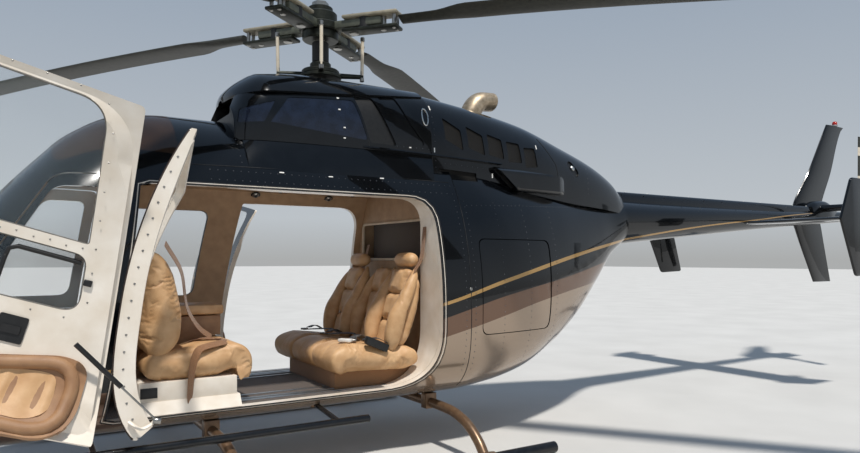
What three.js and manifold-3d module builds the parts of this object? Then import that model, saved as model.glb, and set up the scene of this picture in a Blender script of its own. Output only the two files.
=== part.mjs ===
// A light single-turbine helicopter with a four-blade rotor, standing on its skids
// Millimetres, +X aft, +Y to starboard, +Z up. Stations are measured aft of a datum near the mast.
import * as THREE from 'three';
import { mergeVertices } from 'three/addons/utils/BufferGeometryUtils.js';
import Module from 'manifold-3d';

const wasm = await Module();
wasm.setup();

// Driving dimensions
const NOSE = -3020;
const TAIL_END = 7430;
const MAST_X = -180;
const ROTOR_RADIUS = 5335;
const BLADE_AZIMUTH = 52; // degrees from straight ahead to the first blade, towards starboard
const BLADE_CHORD = 273;
const HUB_Z = 3000;
const CABIN_END = 640; // panel joint between the cabin and the aft fuselage
const BOOM_ROOT = 2840;
const WALL = 40; // cabin wall and doors
const FIT = 0.3; // gap between pieces that touch
const SEAM = 6; // running gap round a door
const REAR_SEAM = 1.9; // a door's rear edge swings aft as it opens, so its gap is wider by this factor
const POST_LEAN = 0.15; // door posts and hinge lines lean aft by this much per millimetre of height
const POST_Z = 1000; // height at which the post stations are stated
const CREW_REAR = -1690; // rear edge of the crew doors
const LITTER_FRONT = -1600; // front edge of the port opening
const DOOR_SPLIT = -700; // joint between the litter door and the passenger door
const RIGHT_FRONT = -700; // front edge of the starboard opening
const OPENING_REAR = 400;
const SILL_Z = 460;
const OPENING_TOP = 1755;
const FLOOR_TOP = 462;
const SKID_Y = 1110;
const SKID_RADIUS = 38;
const SKID_Z = SKID_RADIUS + 4; // a flat wear shoe lies below each skid tube
const TUBE_RADIUS = 34;

// Door angles at rest, in degrees of opening
const LITTER_OPEN = 101;
const PASSENGER_OPEN = 88;
const RIGHT_OPEN = 90;

const PI = Math.PI;
const radians = THREE.MathUtils.degToRad;
const vec = (x, y, z) => new THREE.Vector3(x, y, z);

// Finishes
const finish = (color, roughness, metalness = 0, opacity = 1) => new THREE.MeshStandardMaterial({
  color, roughness, metalness, opacity, transparent: opacity < 1,
});
const BLACK_PAINT = finish(0x0b0c10, 0.12, 0.2);
const CREAM_PAINT = finish(0xe6dccb, 0.4);
const BEIGE_METAL = finish(0xb09a84, 0.35, 0.6);
const BRONZE_METAL = finish(0x8a6f5a, 0.35, 0.6);
const DARK_METAL = finish(0x33352f, 0.5, 0.6);
const BLADE_GREY = finish(0x3a3a34, 0.5, 0.1);
const LEATHER = finish(0xc08f63, 0.6);
const CARPET = finish(0x8b7a68, 0.95);
const TINTED_GLASS = finish(0x2a2722, 0.05, 0, 0.5);
const CLEAR_GLASS = finish(0xcfd8d6, 0.05, 0, 0.3);
const BLACK_PLASTIC = finish(0x141414, 0.5);
const STEEL = finish(0x9a9a98, 0.35, 0.9);
const RED_LENS = finish(0xa01810, 0.1);

// Geometry helpers

// A closed body through rings of equal length, capped flat at both ends
function loft(rings) {
  const size = rings[0].length;
  const points = rings.flat();
  const faces = [];
  for (let r = 0; r + 1 < rings.length; r++) {
    for (let i = 0; i < size; i++) {
      const a = r * size + i;
      const b = r * size + (i + 1) % size;
      faces.push([a, b, b + size], [a, b + size, a + size]);
    }
  }
  const capAt = (start, flip) => {
    const centre = points.slice(start, start + size)
      .reduce((sum, p) => sum.add(p), vec(0, 0, 0)).divideScalar(size);
    points.push(centre);
    for (let i = 0; i < size; i++) {
      const edge = [start + i, start + (i + 1) % size];
      faces.push(flip ? [points.length - 1, edge[1], edge[0]] : [points.length - 1, ...edge]);
    }
  };
  capAt(0, true);
  capAt((rings.length - 1) * size, false);
  const volume = faces.reduce((sum, [a, b, c]) => sum
    + points[a].dot(points[b].clone().cross(points[c])), 0);
  const order = volume < 0 ? faces.map(([a, b, c]) => [a, c, b]) : faces;
  const geometry = new THREE.BufferGeometry().setFromPoints(points);
  geometry.setIndex(order.flat());
  return geometry;
}

// Corners [x, y, reach]: reach is how far before the corner its rounding starts
function outline(corners) {
  const shape = new THREE.Shape();
  const toward = ([x, y], [tx, ty], reach) => {
    const length = Math.hypot(tx - x, ty - y);
    return [x + (tx - x) * reach / length, y + (ty - y) * reach / length];
  };
  corners.forEach((corner, i) => {
    const [x, y, reach = 0] = corner;
    const start = reach ? toward(corner, corners.at(i - 1), reach) : [x, y];
    if (i === 0) shape.moveTo(...start);
    else shape.lineTo(...start);
    if (reach) shape.quadraticCurveTo(x, y, ...toward(corner, corners[(i + 1) % corners.length], reach));
  });
  shape.closePath();
  return shape;
}

// Side outline in X and Z, from y0 to y1
function sidePrism(corners, y0, y1, curveSegments = 5) {
  return new THREE.ExtrudeGeometry(outline(corners), { depth: y1 - y0, bevelEnabled: false, curveSegments })
    .rotateX(PI / 2).translate(0, y1, 0);
}

// Front outline in Y and Z, from x0 to x1
function frontPrism(corners, x0, x1, curveSegments = 4) {
  return new THREE.ExtrudeGeometry(outline(corners), { depth: x1 - x0, bevelEnabled: false, curveSegments })
    .rotateX(PI / 2).rotateZ(PI / 2).translate(x0, 0, 0);
}

// Plan outline in X and Y, from z0 to z1
function planPrism(corners, z0, z1, curveSegments = 4) {
  return new THREE.ExtrudeGeometry(outline(corners), { depth: z1 - z0, bevelEnabled: false, curveSegments })
    .translate(0, 0, z0);
}

function block(x0, x1, y0, y1, z0, z1) {
  return new THREE.BoxGeometry(x1 - x0, y1 - y0, z1 - z0)
    .translate((x0 + x1) / 2, (y0 + y1) / 2, (z0 + z1) / 2);
}

// A round rod between two points
function rod(from, to, radius, sides = 12, endRadius = radius) {
  const along = to.clone().sub(from);
  const turn = new THREE.Quaternion().setFromUnitVectors(vec(0, 1, 0), along.clone().normalize());
  return new THREE.CylinderGeometry(endRadius, radius, along.length(), sides)
    .applyQuaternion(turn).translate(...from.clone().add(to).multiplyScalar(0.5).toArray());
}

function ball(centre, radius) {
  return new THREE.SphereGeometry(radius, 16, 10).translate(centre.x, centre.y, centre.z);
}

// A bent tube through points, with closed ends
function tube(points, radius, steps, sides = 10) {
  return tubeAlong(new THREE.CatmullRomCurve3(points, false, 'centripetal'), radius, steps, sides);
}

function tubeAlong(extrudePath, radius, steps, sides) {
  const section = new THREE.Shape(Array.from({ length: sides }, (_, i) => new THREE.Vector2(
    radius * Math.cos(2 * PI * i / sides), radius * Math.sin(2 * PI * i / sides))));
  return new THREE.ExtrudeGeometry(section, { extrudePath, steps, bevelEnabled: false });
}

function solid(geometry) {
  const bare = geometry.clone();
  bare.deleteAttribute('normal');
  bare.deleteAttribute('uv');
  const merged = mergeVertices(bare, 0.001);
  return new wasm.Manifold(new wasm.Mesh({
    numProp: 3,
    vertProperties: new Float32Array(merged.attributes.position.array),
    triVerts: new Uint32Array(merged.index.array),
  }));
}

function union(...geometries) {
  return geometries.map(solid).reduce((sum, next) => sum.add(next));
}

function geometryOf(body) {
  const mesh = body.getMesh();
  const geometry = new THREE.BufferGeometry();
  geometry.setAttribute('position', new THREE.BufferAttribute(mesh.vertProperties, 3));
  geometry.setIndex(new THREE.BufferAttribute(mesh.triVerts, 1));
  return geometry;
}

const helicopter = new THREE.Group();
helicopter.name = 'helicopter';

function add(name, shape, material, parent = helicopter) {
  const geometry = shape.isBufferGeometry ? shape : geometryOf(shape);
  const mesh = new THREE.Mesh(geometry, material);
  mesh.name = name;
  parent.add(mesh);
  return mesh;
}

// Fuselage sections: station, belly, roof, half width, height of the widest line, upper roundness
const CABIN_SECTIONS = [
  [NOSE, 690, 790, 70, 740, 2],
  [-2985, 600, 870, 190, 740, 2],
  [-2900, 500, 950, 340, 740, 2.1],
  [-2760, 420, 1030, 460, 750, 2.3],
  [-2600, 370, 1130, 555, 780, 2.5],
  [-2400, 340, 1390, 635, 830, 2.6],
  [-2200, 330, 1650, 685, 890, 2.5],
  [-2000, 330, 1880, 712, 940, 2.3],
  [-1800, 330, 2075, 728, 970, 2.15],
  [-1550, 330, 2205, 735, 990, 2],
  [-1250, 330, 2240, 735, 1000, 1.95],
  [CABIN_END, 335, 2240, 735, 1000, 1.95],
];
const AFT_SECTIONS = [
  [CABIN_END + FIT, 335, 2240, 735, 1000, 1.95],
  [1000, 355, 2200, 705, 1040, 2],
  [1350, 405, 2130, 650, 1100, 2],
  [1700, 530, 2060, 560, 1180, 2],
  [2050, 760, 2000, 450, 1280, 2],
  [2350, 1050, 1960, 345, 1420, 2],
  [2600, 1310, 1930, 260, 1560, 2],
  [BOOM_ROOT, 1470, 1900, 205, 1685, 2],
];
// Roundness below the widest line: squarer along the doors, rounder towards the nose and the boom
const bellyRoundness = (station) => 2.5
  + 0.9 * Math.max(0, Math.min(1, (station + 2900) / 700, (1700 - station) / 1000));
const RING_POINTS = 28;

function fuselageRing([station, belly, roof, halfWidth, widest, roundness], inset = 0) {
  return Array.from({ length: RING_POINTS }, (_, i) => {
    const angle = 2 * PI * i / RING_POINTS;
    const power = Math.sin(angle) >= 0 ? roundness : bellyRoundness(station);
    const reach = Math.sin(angle) >= 0 ? roof - widest - inset : widest - belly - inset;
    const bend = (value) => Math.sign(value) * Math.abs(value) ** (2 / power);
    return vec(station, (halfWidth - inset) * bend(Math.cos(angle)), widest + reach * bend(Math.sin(angle)));
  });
}

// The fuselage grown or shrunk by an even amount, from the nose to the given end
function fuselageBody(sections, inset, firstStation = -Infinity) {
  return solid(loft(sections.filter(([station]) => station >= firstStation)
    .map((section) => fuselageRing(section, inset))));
}

const CAVITY_START = -2900; // first section that the cabin's hollow uses
const cabinOuter = fuselageBody(CABIN_SECTIONS, 0);
const longCabin = [...CABIN_SECTIONS.slice(0, -1), [CABIN_END + 50, 335, 2240, 735, 1000, 1.95]];
const hollow = (inset) => fuselageBody(longCabin, inset, CAVITY_START);
const ROOF_BEAM_FRONT = -1500;
const CEILING_Z = 1850;
const roofBlock = solid(block(ROOF_BEAM_FRONT, CABIN_END + 100, -800, 800, CEILING_Z, 2400));
const cavity = hollow(WALL).subtract(roofBlock);
const skin = cabinOuter.subtract(cavity);
const PANE_DEPTH = 12; // how far a pane lies inside the skin
const PANE = 6;
const paneSkin = fuselageBody(CABIN_SECTIONS, PANE_DEPTH).subtract(hollow(PANE_DEPTH + PANE));

// A station on a leaning post at a height
const leaning = (station, z) => station + POST_LEAN * (z - POST_Z);

// Corners of the openings and doors in side view, shrunk by an inset
function crewOutline(inset = 0) {
  const low = 500 + inset;
  const high = 1795 - inset;
  return [
    [-2270 + inset, low, 130], [leaning(CREW_REAR, low) - inset * REAR_SEAM, low, 190],
    [leaning(CREW_REAR, high) - inset * REAR_SEAM, high, 50], [-1900 + inset, high, 80], [-2370 + inset * 1.3, 1060, 90],
  ];
}

function openingOutline(front, inset = 0) {
  const low = SILL_Z + inset;
  const high = OPENING_TOP - inset;
  return [
    [leaning(front, low) + inset, low, 20], [OPENING_REAR - inset * REAR_SEAM, low, 380],
    [OPENING_REAR - inset * REAR_SEAM, high, 190], [leaning(front, high) + inset, high, 20],
  ];
}

function litterOutline(inset) {
  const low = SILL_Z + inset;
  const high = OPENING_TOP - inset;
  const rear = DOOR_SPLIT - SEAM;
  return [
    [leaning(LITTER_FRONT, low) + inset, low, 20], [leaning(rear, low), low, 20],
    [leaning(rear, high), high, 20], [leaning(LITTER_FRONT, high) + inset, high, 20],
  ];
}

// Windows in side view: front, rear, low, high, corner reach
function windowOutline(front, rear, low, high, reach, inset = 0) {
  return [
    [leaning(front, low) + inset, low + inset, reach], [leaning(rear, low) - inset, low + inset, reach],
    [leaning(rear, high) - inset, high - inset, reach], [leaning(front, high) + inset, high - inset, reach],
  ];
}

const CREW_WINDOW = (inset = 0) => [
  [-2290 + inset, 1085 + inset, 60], [leaning(CREW_REAR - 75, 1085) - inset, 1085 + inset, 70],
  [leaning(CREW_REAR - 75, 1720) - inset, 1720 - inset, 50], [-1905 + inset, 1720 - inset, 60],
];
const LITTER_WINDOW = (inset = 0) => windowOutline(LITTER_FRONT + 80, DOOR_SPLIT - 115, 1085, 1690, 60, inset);
const FIXED_WINDOW = (inset = 0) => windowOutline(LITTER_FRONT + 100, RIGHT_FRONT - 230, 1060, 1690, 70, inset);
const passengerWindow = (front, inset = 0) => [
  [leaning(front + 123, 925) + inset, 925 + inset, 75], [OPENING_REAR - 90 - inset, 925 + inset, 130],
  [OPENING_REAR - 90 - inset, 1715 - inset, 150], [leaning(front + 123, 1715) + inset, 1715 - inset, 110],
];
const CROSSBAR = [1148, 1190]; // heights of the bar across the passenger windows, inside their panes

const LEFT = [-900, 0];
const RIGHT = [0, 900];
const cutter = (corners, [y0, y1]) => solid(sidePrism(corners, y0, y1));

// Nose and roof glass openings, port side; the starboard side mirrors them
const POST_HALF = 25;
const mirrorY = (corners) => corners.map(([y, z, reach]) => [-y, z, reach]).reverse();
const WINDSHIELD_FRONT = (inset = 0) => [
  [-(POST_HALF + inset), 1120 + inset, 20], [-(POST_HALF + inset), 1830 - inset, 20],
  [-(420 - inset), 1700 - inset, 60], [-(560 - inset), 1180 + inset, 60],
];
const windshieldCutter = (corners, inset = 0) => solid(frontPrism(corners, -3000, -1900))
  .intersect(solid(sidePrism([
    [-2610 - inset, 1100 + inset], [-1960 - inset, 1900], [-2400, 2100], [-2950, 1300],
  ].map(([x, z]) => [x, z]), -700, 700)));
const ROOF_WINDOW = (inset = 0) => [
  [-1900 + inset, -(60 + inset), 40], [-1900 + inset, -(420 - inset), 90],
  [-1260 - inset, -(470 - inset), 40], [-1260 - inset, -(60 + inset), 40],
];
const CHIN_WINDOW = (inset = 0) => [
  [-(110 + inset), 520 + inset, 60], [-(110 + inset), 900 - inset, 60],
  [-(400 - inset), 900 - inset, 90], [-(430 - inset), 560 + inset, 90],
];

// Door hinges. The fixed side carries a knuckle with a pin, and the door a bored knuckle on the same line
const hingeAxis = vec(POST_LEAN, 0, 1).normalize();
const UPRIGHT = vec(0, 0, 1);
const HINGE_OUT = 16; // the hinge pins stand this far outside the widest skin
const HINGE_Y = 735 + HINGE_OUT;
const hingePoint = (station, side, z = POST_Z) => vec(leaning(station, z), side * HINGE_Y, z);
const PIN_RADIUS = 5;
const PIN_SIDES = 20;
const BORE_RADIUS = (PIN_RADIUS + 0.01) / Math.cos(PI / PIN_SIDES);
const KNUCKLE = 24;
const CABIN_HINGES = [805, 1480]; // heights of the cabin doors' hinges
const CREW_HINGES = [680, 980];
const CREW_HINGE = [-2385, 672]; // station and distance from the centre plane
const BAGGAGE_HINGE = [735, 745];
const BAGGAGE_HINGES = [950, 1300];

// Half the width of the fuselage at a station and height
function skinHalf(sections, x, z) {
  const next = Math.max(1, sections.findIndex(([station]) => station >= x));
  const [before, after] = [sections[next - 1], sections[next]];
  const share = (x - before[0]) / (after[0] - before[0]);
  const [, belly, roof, halfWidth, widest, roundness] = before.map((v, i) => v + (after[i] - v) * share);
  const power = z > widest ? roundness : bellyRoundness(x);
  const height = z > widest ? (z - widest) / (roof - widest) : (widest - z) / (widest - belly);
  return halfWidth * (1 - height ** power) ** (1 / power);
}

// Returns the two halves of a hinge; each arm's foot lies inside its panel's wall
function hinge(point, axis, sections, fixedReach, doorReach) {
  const side = Math.sign(point.y);
  const along = (distance) => point.clone().addScaledVector(axis, distance);
  const foot = (from, reach) => vec(from.x + reach,
    side * (skinHalf(sections, from.x + reach, from.z) - WALL / 2), from.z);
  const bore = solid(rod(along(-2), along(KNUCKLE + 2), BORE_RADIUS, PIN_SIDES));
  const arm = (from, reach) => {
    const elbow = from.clone().setX(from.x + Math.max(0, reach - 45));
    const outer = solid(rod(elbow, foot(elbow, reach - elbow.x + from.x), 8, 8));
    return elbow.x > from.x ? outer.add(solid(rod(from, elbow, 8, 8))) : outer;
  };
  const fixed = union(rod(along(-KNUCKLE), along(-FIT), 10, 12),
    rod(along(-KNUCKLE + 2), along(KNUCKLE - 2), PIN_RADIUS, PIN_SIDES))
    .add(arm(along(-KNUCKLE / 2), -fixedReach));
  const door = solid(rod(along(0), along(KNUCKLE), 10, 12)).add(arm(along(KNUCKLE / 2), doorReach)).subtract(bore);
  return { fixed, door };
}
const cabinHinges = (station, side) => CABIN_HINGES.map((z) => hinge(hingePoint(station, side, z), hingeAxis,
  CABIN_SECTIONS, 38, 38));
const litterHinges = cabinHinges(LITTER_FRONT, -1);
const passengerHinges = cabinHinges(DOOR_SPLIT - SEAM / 2, -1);
const rightHinges = cabinHinges(RIGHT_FRONT, 1);
const crewHinges = (side) => CREW_HINGES.map((z) => hinge(vec(CREW_HINGE[0], side * CREW_HINGE[1], z), UPRIGHT,
  CABIN_SECTIONS, 40, 115));

// Cabin shell
function cabinShell() {
  let shell = skin;
  for (const side of [LEFT, RIGHT]) shell = shell.subtract(cutter(crewOutline(), side));
  shell = shell.subtract(cutter(openingOutline(LITTER_FRONT), LEFT));
  shell = shell.subtract(cutter(openingOutline(RIGHT_FRONT), RIGHT));
  shell = shell.subtract(cutter(FIXED_WINDOW(), RIGHT));
  for (const flip of [(c) => c, mirrorY]) {
    shell = shell.subtract(windshieldCutter(flip(WINDSHIELD_FRONT())));
    shell = shell.subtract(solid(frontPrism(flip(CHIN_WINDOW()), -3000, -2500)));
  }
  for (const flip of [1, -1]) {
    shell = shell.subtract(solid(planPrism(roofWindow(flip), 1700, 2300)));
  }
  for (const { fixed } of [...litterHinges, ...rightHinges, ...crewHinges(-1), ...crewHinges(1)]) shell = shell.add(fixed);
  return shell;
}
function roofWindow(flip, inset = 0) {
  const corners = ROOF_WINDOW(inset).map(([x, y, reach]) => [x, flip * y, reach]);
  return flip > 0 ? corners : corners.reverse();
}
add('cabin_shell', cabinShell(), BLACK_PAINT);

// Fixed panes
const pane = (name, body) => add(name, paneSkin.intersect(body), TINTED_GLASS);
pane('windshield_left', windshieldCutter(WINDSHIELD_FRONT(FIT), FIT));
pane('windshield_right', windshieldCutter(mirrorY(WINDSHIELD_FRONT(FIT)), FIT));
pane('chin_window_left', solid(frontPrism(CHIN_WINDOW(FIT), -3000, -2500 - FIT)));
pane('chin_window_right', solid(frontPrism(mirrorY(CHIN_WINDOW(FIT)), -3000, -2500 - FIT)));
pane('roof_window_left', solid(planPrism(roofWindow(1, FIT), 1700, 2300)));
pane('roof_window_right', solid(planPrism(roofWindow(-1, FIT), 1700, 2300)));
pane('side_window_right', cutter(FIXED_WINDOW(FIT), RIGHT));

// Cabin floor, laid inside the skin
const floorBody = hollow(WALL + FIT).intersect(solid(block(-2700, CABIN_END - FIT, -800, 800, 424, FLOOR_TOP)));
add('cabin_floor', floorBody, CARPET);

// Doors. Each is made shut, then turned about its leaning hinge line

// A group that turns what it holds about a hinge line; positive angles open
function hingeGroup(point, openAngle, side, parent = helicopter) {
  const outer = new THREE.Group();
  outer.position.copy(point);
  outer.quaternion.setFromAxisAngle(hingeAxis.clone().multiplyScalar(side), radians(openAngle));
  const inner = new THREE.Group();
  inner.position.copy(point).negate();
  outer.add(inner);
  parent.add(outer);
  return inner;
}

const doorSkin = (corners, side) => skin.intersect(cutter(corners, side));

// The lower edge of a door on a leaning hinge dips as it opens, so its inner side is cut away on a slope
const FOOT_Y = 600; // outer edge of the sill
const FOOT_INNER = FOOT_Y - 134;
const doorFoot = ([y0]) => {
  const side = y0 < 0 ? -1 : 1;
  const corners = [[side * FOOT_Y, SILL_Z + SEAM], [side * FOOT_INNER, SILL_Z + SEAM + 147],
    [side * FOOT_INNER, 400], [side * FOOT_Y, 400]];
  return solid(frontPrism(side < 0 ? corners : corners.reverse(), -1900, 500));
};
const withHinges = (body, half, hinges) => hinges.reduce((sum, each) => sum.add(each[half]), body);

// Crew doors, shut
for (const [name, side, half] of [['left', -1, LEFT], ['right', 1, RIGHT]]) {
  const door = doorSkin(crewOutline(SEAM), half).subtract(cutter(CREW_WINDOW(), half));
  add(`crew_door_${name}`, withHinges(door, 'door', crewHinges(side)), BLACK_PAINT);
  add(`crew_window_${name}`, paneSkin.intersect(cutter(CREW_WINDOW(FIT), half)), CLEAR_GLASS);
}

// Ends of the gas strut on the shut doors: its pivot on the passenger door, its eye on the litter door
const STRUT_PIVOT = vec(-611, -630, 822);
const STRUT_EYE = vec(-700, -535, 553);
const BALL_RADIUS = 8;

// Litter door with its box post along the free edge, standing open
const litterHinge = hingePoint(LITTER_FRONT, -1);
const litterGroup = hingeGroup(litterHinge, LITTER_OPEN, -1);
const POST_DEPTH = 105;
const POST_WIDTH = 70;
const postSkin = cabinOuter.subtract(hollow(POST_DEPTH)).intersect(solid(block(-2000, 0, -900, 0, 0, CEILING_Z)));
const postFront = DOOR_SPLIT - SEAM - POST_WIDTH;
const POST_FOOT = 480; // the post's end stays clear of the floor as the door swings
const litterPost = postSkin.intersect(cutter(litterOutline(SEAM), LEFT)).intersect(cutter([
  [leaning(postFront, POST_FOOT), POST_FOOT], [leaning(DOOR_SPLIT, POST_FOOT), POST_FOOT],
  [leaning(DOOR_SPLIT, 1900), 1900], [leaning(postFront, 1900), 1900],
], LEFT));
const strutLug = solid(rod(vec(STRUT_EYE.x - 110, STRUT_EYE.y, STRUT_EYE.z - 8), STRUT_EYE, 9, 10));
const litterDoor = doorSkin(litterOutline(SEAM), LEFT).subtract(doorFoot(LEFT)).subtract(cutter(LITTER_WINDOW(), LEFT))
  .add(litterPost).add(strutLug);
add('litter_door', withHinges(withHinges(litterDoor, 'door', litterHinges), 'fixed', passengerHinges), CREAM_PAINT,
  litterGroup);
add('litter_window', paneSkin.intersect(cutter(LITTER_WINDOW(FIT), LEFT)), CLEAR_GLASS, litterGroup);

// Passenger doors, standing open
const leftHinge = hingePoint(DOOR_SPLIT - SEAM / 2, -1);
const rightHinge = hingePoint(RIGHT_FRONT, 1);
const leftGroup = hingeGroup(leftHinge, PASSENGER_OPEN, -1, litterGroup);
const rightGroup = hingeGroup(rightHinge, RIGHT_OPEN, 1);
for (const [name, half, front, inset, group] of [
  ['left', LEFT, DOOR_SPLIT, 0, leftGroup], ['right', RIGHT, RIGHT_FRONT, SEAM, rightGroup],
]) {
  const corners = openingOutline(front, SEAM);
  if (!inset) for (const i of [0, 3]) corners[i][0] -= SEAM;
  let door = doorSkin(corners, half).subtract(doorFoot(half)).subtract(cutter(passengerWindow(front), half));
  if (!inset) {
    door = door.add(solid(rod(STRUT_PIVOT.clone().setY(STRUT_PIVOT.y - 65), STRUT_PIVOT, 3, 8)))
      .add(solid(ball(STRUT_PIVOT, BALL_RADIUS)));
  }
  const bar = hollow(PANE_DEPTH + PANE + 1).subtract(hollow(WALL)).intersect(cutter([
    [leaning(front + 115, CROSSBAR[0]), CROSSBAR[0]], [OPENING_REAR - 80, CROSSBAR[0]],
    [OPENING_REAR - 80, CROSSBAR[1]], [leaning(front + 115, CROSSBAR[1]), CROSSBAR[1]],
  ], half));
  door = withHinges(door.add(bar), 'door', inset ? rightHinges : passengerHinges);
  add(`passenger_door_${name}`, door, CREAM_PAINT, group);
  add(`passenger_window_${name}`, paneSkin.intersect(cutter(passengerWindow(front, FIT), half)), CLEAR_GLASS, group);
}

// Aft fuselage with its baggage hold and the hold's door
const aftOuter = fuselageBody(AFT_SECTIONS, 0);
const HOLD = [CABIN_END + 60, 1560, 620, 1640]; // front, rear, low, high
const holdHollow = fuselageBody(AFT_SECTIONS, WALL)
  .intersect(solid(block(HOLD[0], HOLD[1], -800, 800, HOLD[2], HOLD[3])));
const BAGGAGE = (inset = 0) => [
  [740 + inset, 790 + inset, 60], [1500 - inset * 2.5, 790 + inset, 60],
  [1500 - inset * 2.5, 1480 - inset, 60], [740 + inset, 1480 - inset, 60],
];
const aftSkin = aftOuter.subtract(fuselageBody(AFT_SECTIONS, WALL));
const baggageHinges = BAGGAGE_HINGES.map((z) => hinge(vec(BAGGAGE_HINGE[0], -BAGGAGE_HINGE[1], z), UPRIGHT,
  AFT_SECTIONS, 32, 45));
// Space behind, under and over the hold, open at the boom's root
const aftSpace = fuselageBody([...AFT_SECTIONS, [BOOM_ROOT + 50, 1470, 1900, 205, 1685, 2]], WALL)
  .intersect(solid(block(HOLD[1] + WALL, 3000, -800, 800, 300, 2300))
    .add(solid(block(HOLD[0] + 40, HOLD[1] + 60, -800, 800, 300, HOLD[2] - WALL)))
    .add(solid(block(HOLD[0] + 40, HOLD[1] + 60, -800, 800, HOLD[3] + WALL, 2300))));
const aftBody = aftOuter.subtract(holdHollow).subtract(aftSpace).subtract(cutter(BAGGAGE(), LEFT));
add('aft_fuselage', withHinges(aftBody, 'fixed', baggageHinges), BLACK_PAINT);
add('baggage_door', withHinges(aftSkin.intersect(cutter(BAGGAGE(SEAM), LEFT)), 'door', baggageHinges), BLACK_PAINT);

// Cowling sections: station, base, top, half width, roundness
const FAIRING_SECTIONS = [
  [-900, 2080, 2350, 330, 2.6],
  [-835, 2080, 2475, 380, 2.8],
  [-700, 2080, 2545, 420, 3],
  [-340, 2080, 2590, 450, 3],
  [480, 2080, 2590, 460, 3],
];
const COWL_SECTIONS = [
  [480 + FIT, 1900, 2590, 460, 3],
  [860, 1900, 2550, 455, 3],
  [1470, 1850, 2470, 420, 2.8],
  [2000, 1800, 2330, 350, 2.6],
  [2400, 1780, 2210, 280, 2.4],
  [2680, 1760, 2090, 215, 2.2],
  [BOOM_ROOT, 1740, 1985, 160, 2],
];
const ARCH_POINTS = 16;
function archRing([station, base, top, halfWidth, roundness], inset = 0, drop = 0) {
  const bend = (value) => Math.sign(value) * Math.abs(value) ** (2 / roundness);
  return Array.from({ length: ARCH_POINTS + 1 }, (_, i) => {
    const angle = PI * i / ARCH_POINTS;
    return vec(station, (halfWidth - inset) * bend(Math.cos(angle)),
      base - drop + (top - inset - base + drop) * bend(Math.sin(angle)));
  });
}
const cowlBody = (sections, inset = 0, drop = 0) => solid(loft(sections.map((s) => archRing(s, inset, drop))));
const COWL_WALL = 20;
const clearOfCabin = fuselageBody(longCabin, -FIT);
const clearOfAft = fuselageBody([[CABIN_END - 40, 335, 2240, 735, 1000, 1.95], ...AFT_SECTIONS,
  [BOOM_ROOT + 50, 1470, 1900, 205, 1685, 2]], -FIT);

// Transmission fairing: hollow, with the air inlet under its front lip and side windows as dark panels
const mastHole = solid(rod(vec(MAST_X, 0, 2300), vec(MAST_X, 0, 2700), 130, 20));
const fairingInner = cowlBody([
  [-800, 2080, 2470, 385, 2.8], [-700, 2080, 2545, 420, 3], [-340, 2080, 2590, 450, 3], [600, 2080, 2590, 460, 3],
], COWL_WALL, 60);
const frontInlet = solid(frontPrism([[-230, 2265, 30], [230, 2265, 30], [210, 2400, 40], [-210, 2400, 40]], -1000, -700));
add('transmission_fairing', cowlBody(FAIRING_SECTIONS).subtract(fairingInner).subtract(mastHole)
  .subtract(frontInlet).subtract(clearOfCabin), BLACK_PAINT);

// Engine cowling: hollow, with five louvre openings on each side and a hole for the exhaust
const LOUVRES = [[640, 120], [800, 130], [960, 130], [1150, 150], [1380, 150]]; // station, length
const EXHAUST_X = 1150;
const exhaustHole = solid(rod(vec(EXHAUST_X, 0, 2300), vec(EXHAUST_X, 0, 2700), 115, 16));
const cowlInner = cowlBody([
  [400, 1900, 2590, 460, 3], [860, 1900, 2550, 455, 3], [1470, 1850, 2470, 420, 2.8], [2000, 1800, 2330, 350, 2.6],
  [2400, 1780, 2210, 280, 2.4], [2620, 1760, 2115, 230, 2.2],
], COWL_WALL, 0);
const lowerCowl = solid(block(400, 2900, -800, 800, 1700, 1980));
let cowling = cowlBody(COWL_SECTIONS).subtract(cowlInner.subtract(lowerCowl)).subtract(exhaustHole)
  .subtract(clearOfCabin).subtract(clearOfAft);
LOUVRES.forEach(([station, length], i) => {
  const low = 2250 - i * 28;
  cowling = cowling.subtract(solid(sidePrism([
    [station, low, 15], [station + length, low - 10, 15], [station + length, low + 150, 15], [station, low + 165, 15],
  ], -700, 700, 2)));
});
add('engine_cowling', cowling, BLACK_PAINT);

// Engine and gearbox as plain blocks inside the cowlings
const seated = (box) => solid(box).subtract(clearOfCabin).subtract(clearOfAft);
add('engine_block', seated(block(700, 1500, -190, 190, 2100, 2380)), DARK_METAL);
add('gearbox_case', seated(block(MAST_X - 230, MAST_X + 230, -200, 200, 2120, 2420)), DARK_METAL);

// Exhaust stack: an open bent pipe rising through the cowling and facing aft
function exhaustStack() {
  const path = [vec(EXHAUST_X, 0, 2380 + FIT), vec(EXHAUST_X, 0, 2510), vec(EXHAUST_X + 30, 0, 2610), vec(EXHAUST_X + 130, 0, 2690)];
  const bore = [vec(EXHAUST_X, 0, 2440), vec(EXHAUST_X, 0, 2525), vec(EXHAUST_X + 30, 0, 2612), vec(EXHAUST_X + 145, 0, 2702)];
  return solid(tube(path, 90, 6, 12)).subtract(solid(tube(bore, 80, 6, 12)));
}
add('exhaust_stack', exhaustStack(), BEIGE_METAL);

// Tail boom, its shaft cover and gearbox fairing
const BOOM_SECTIONS = [ // station, bottom, top, half width
  [BOOM_ROOT + FIT, 1470, 1900, 205],
  [3400, 1520, 1895, 178],
  [5300, 1682, 1905, 112],
  [7060, 1810, 1945, 72],
];
const STAB_X = 5008;
const STAB_Z = 1735;
const STAB_CHORD = 420;
const STAB_SPAN = 1155;
function ovalRing(station, bottom, top, halfWidth, inset = 0, count = 20) {
  return Array.from({ length: count }, (_, i) => {
    const angle = 2 * PI * i / count;
    return vec(station, (halfWidth - inset) * Math.cos(angle),
      (top + bottom) / 2 + ((top - bottom) / 2 - inset) * Math.sin(angle));
  });
}
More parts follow.
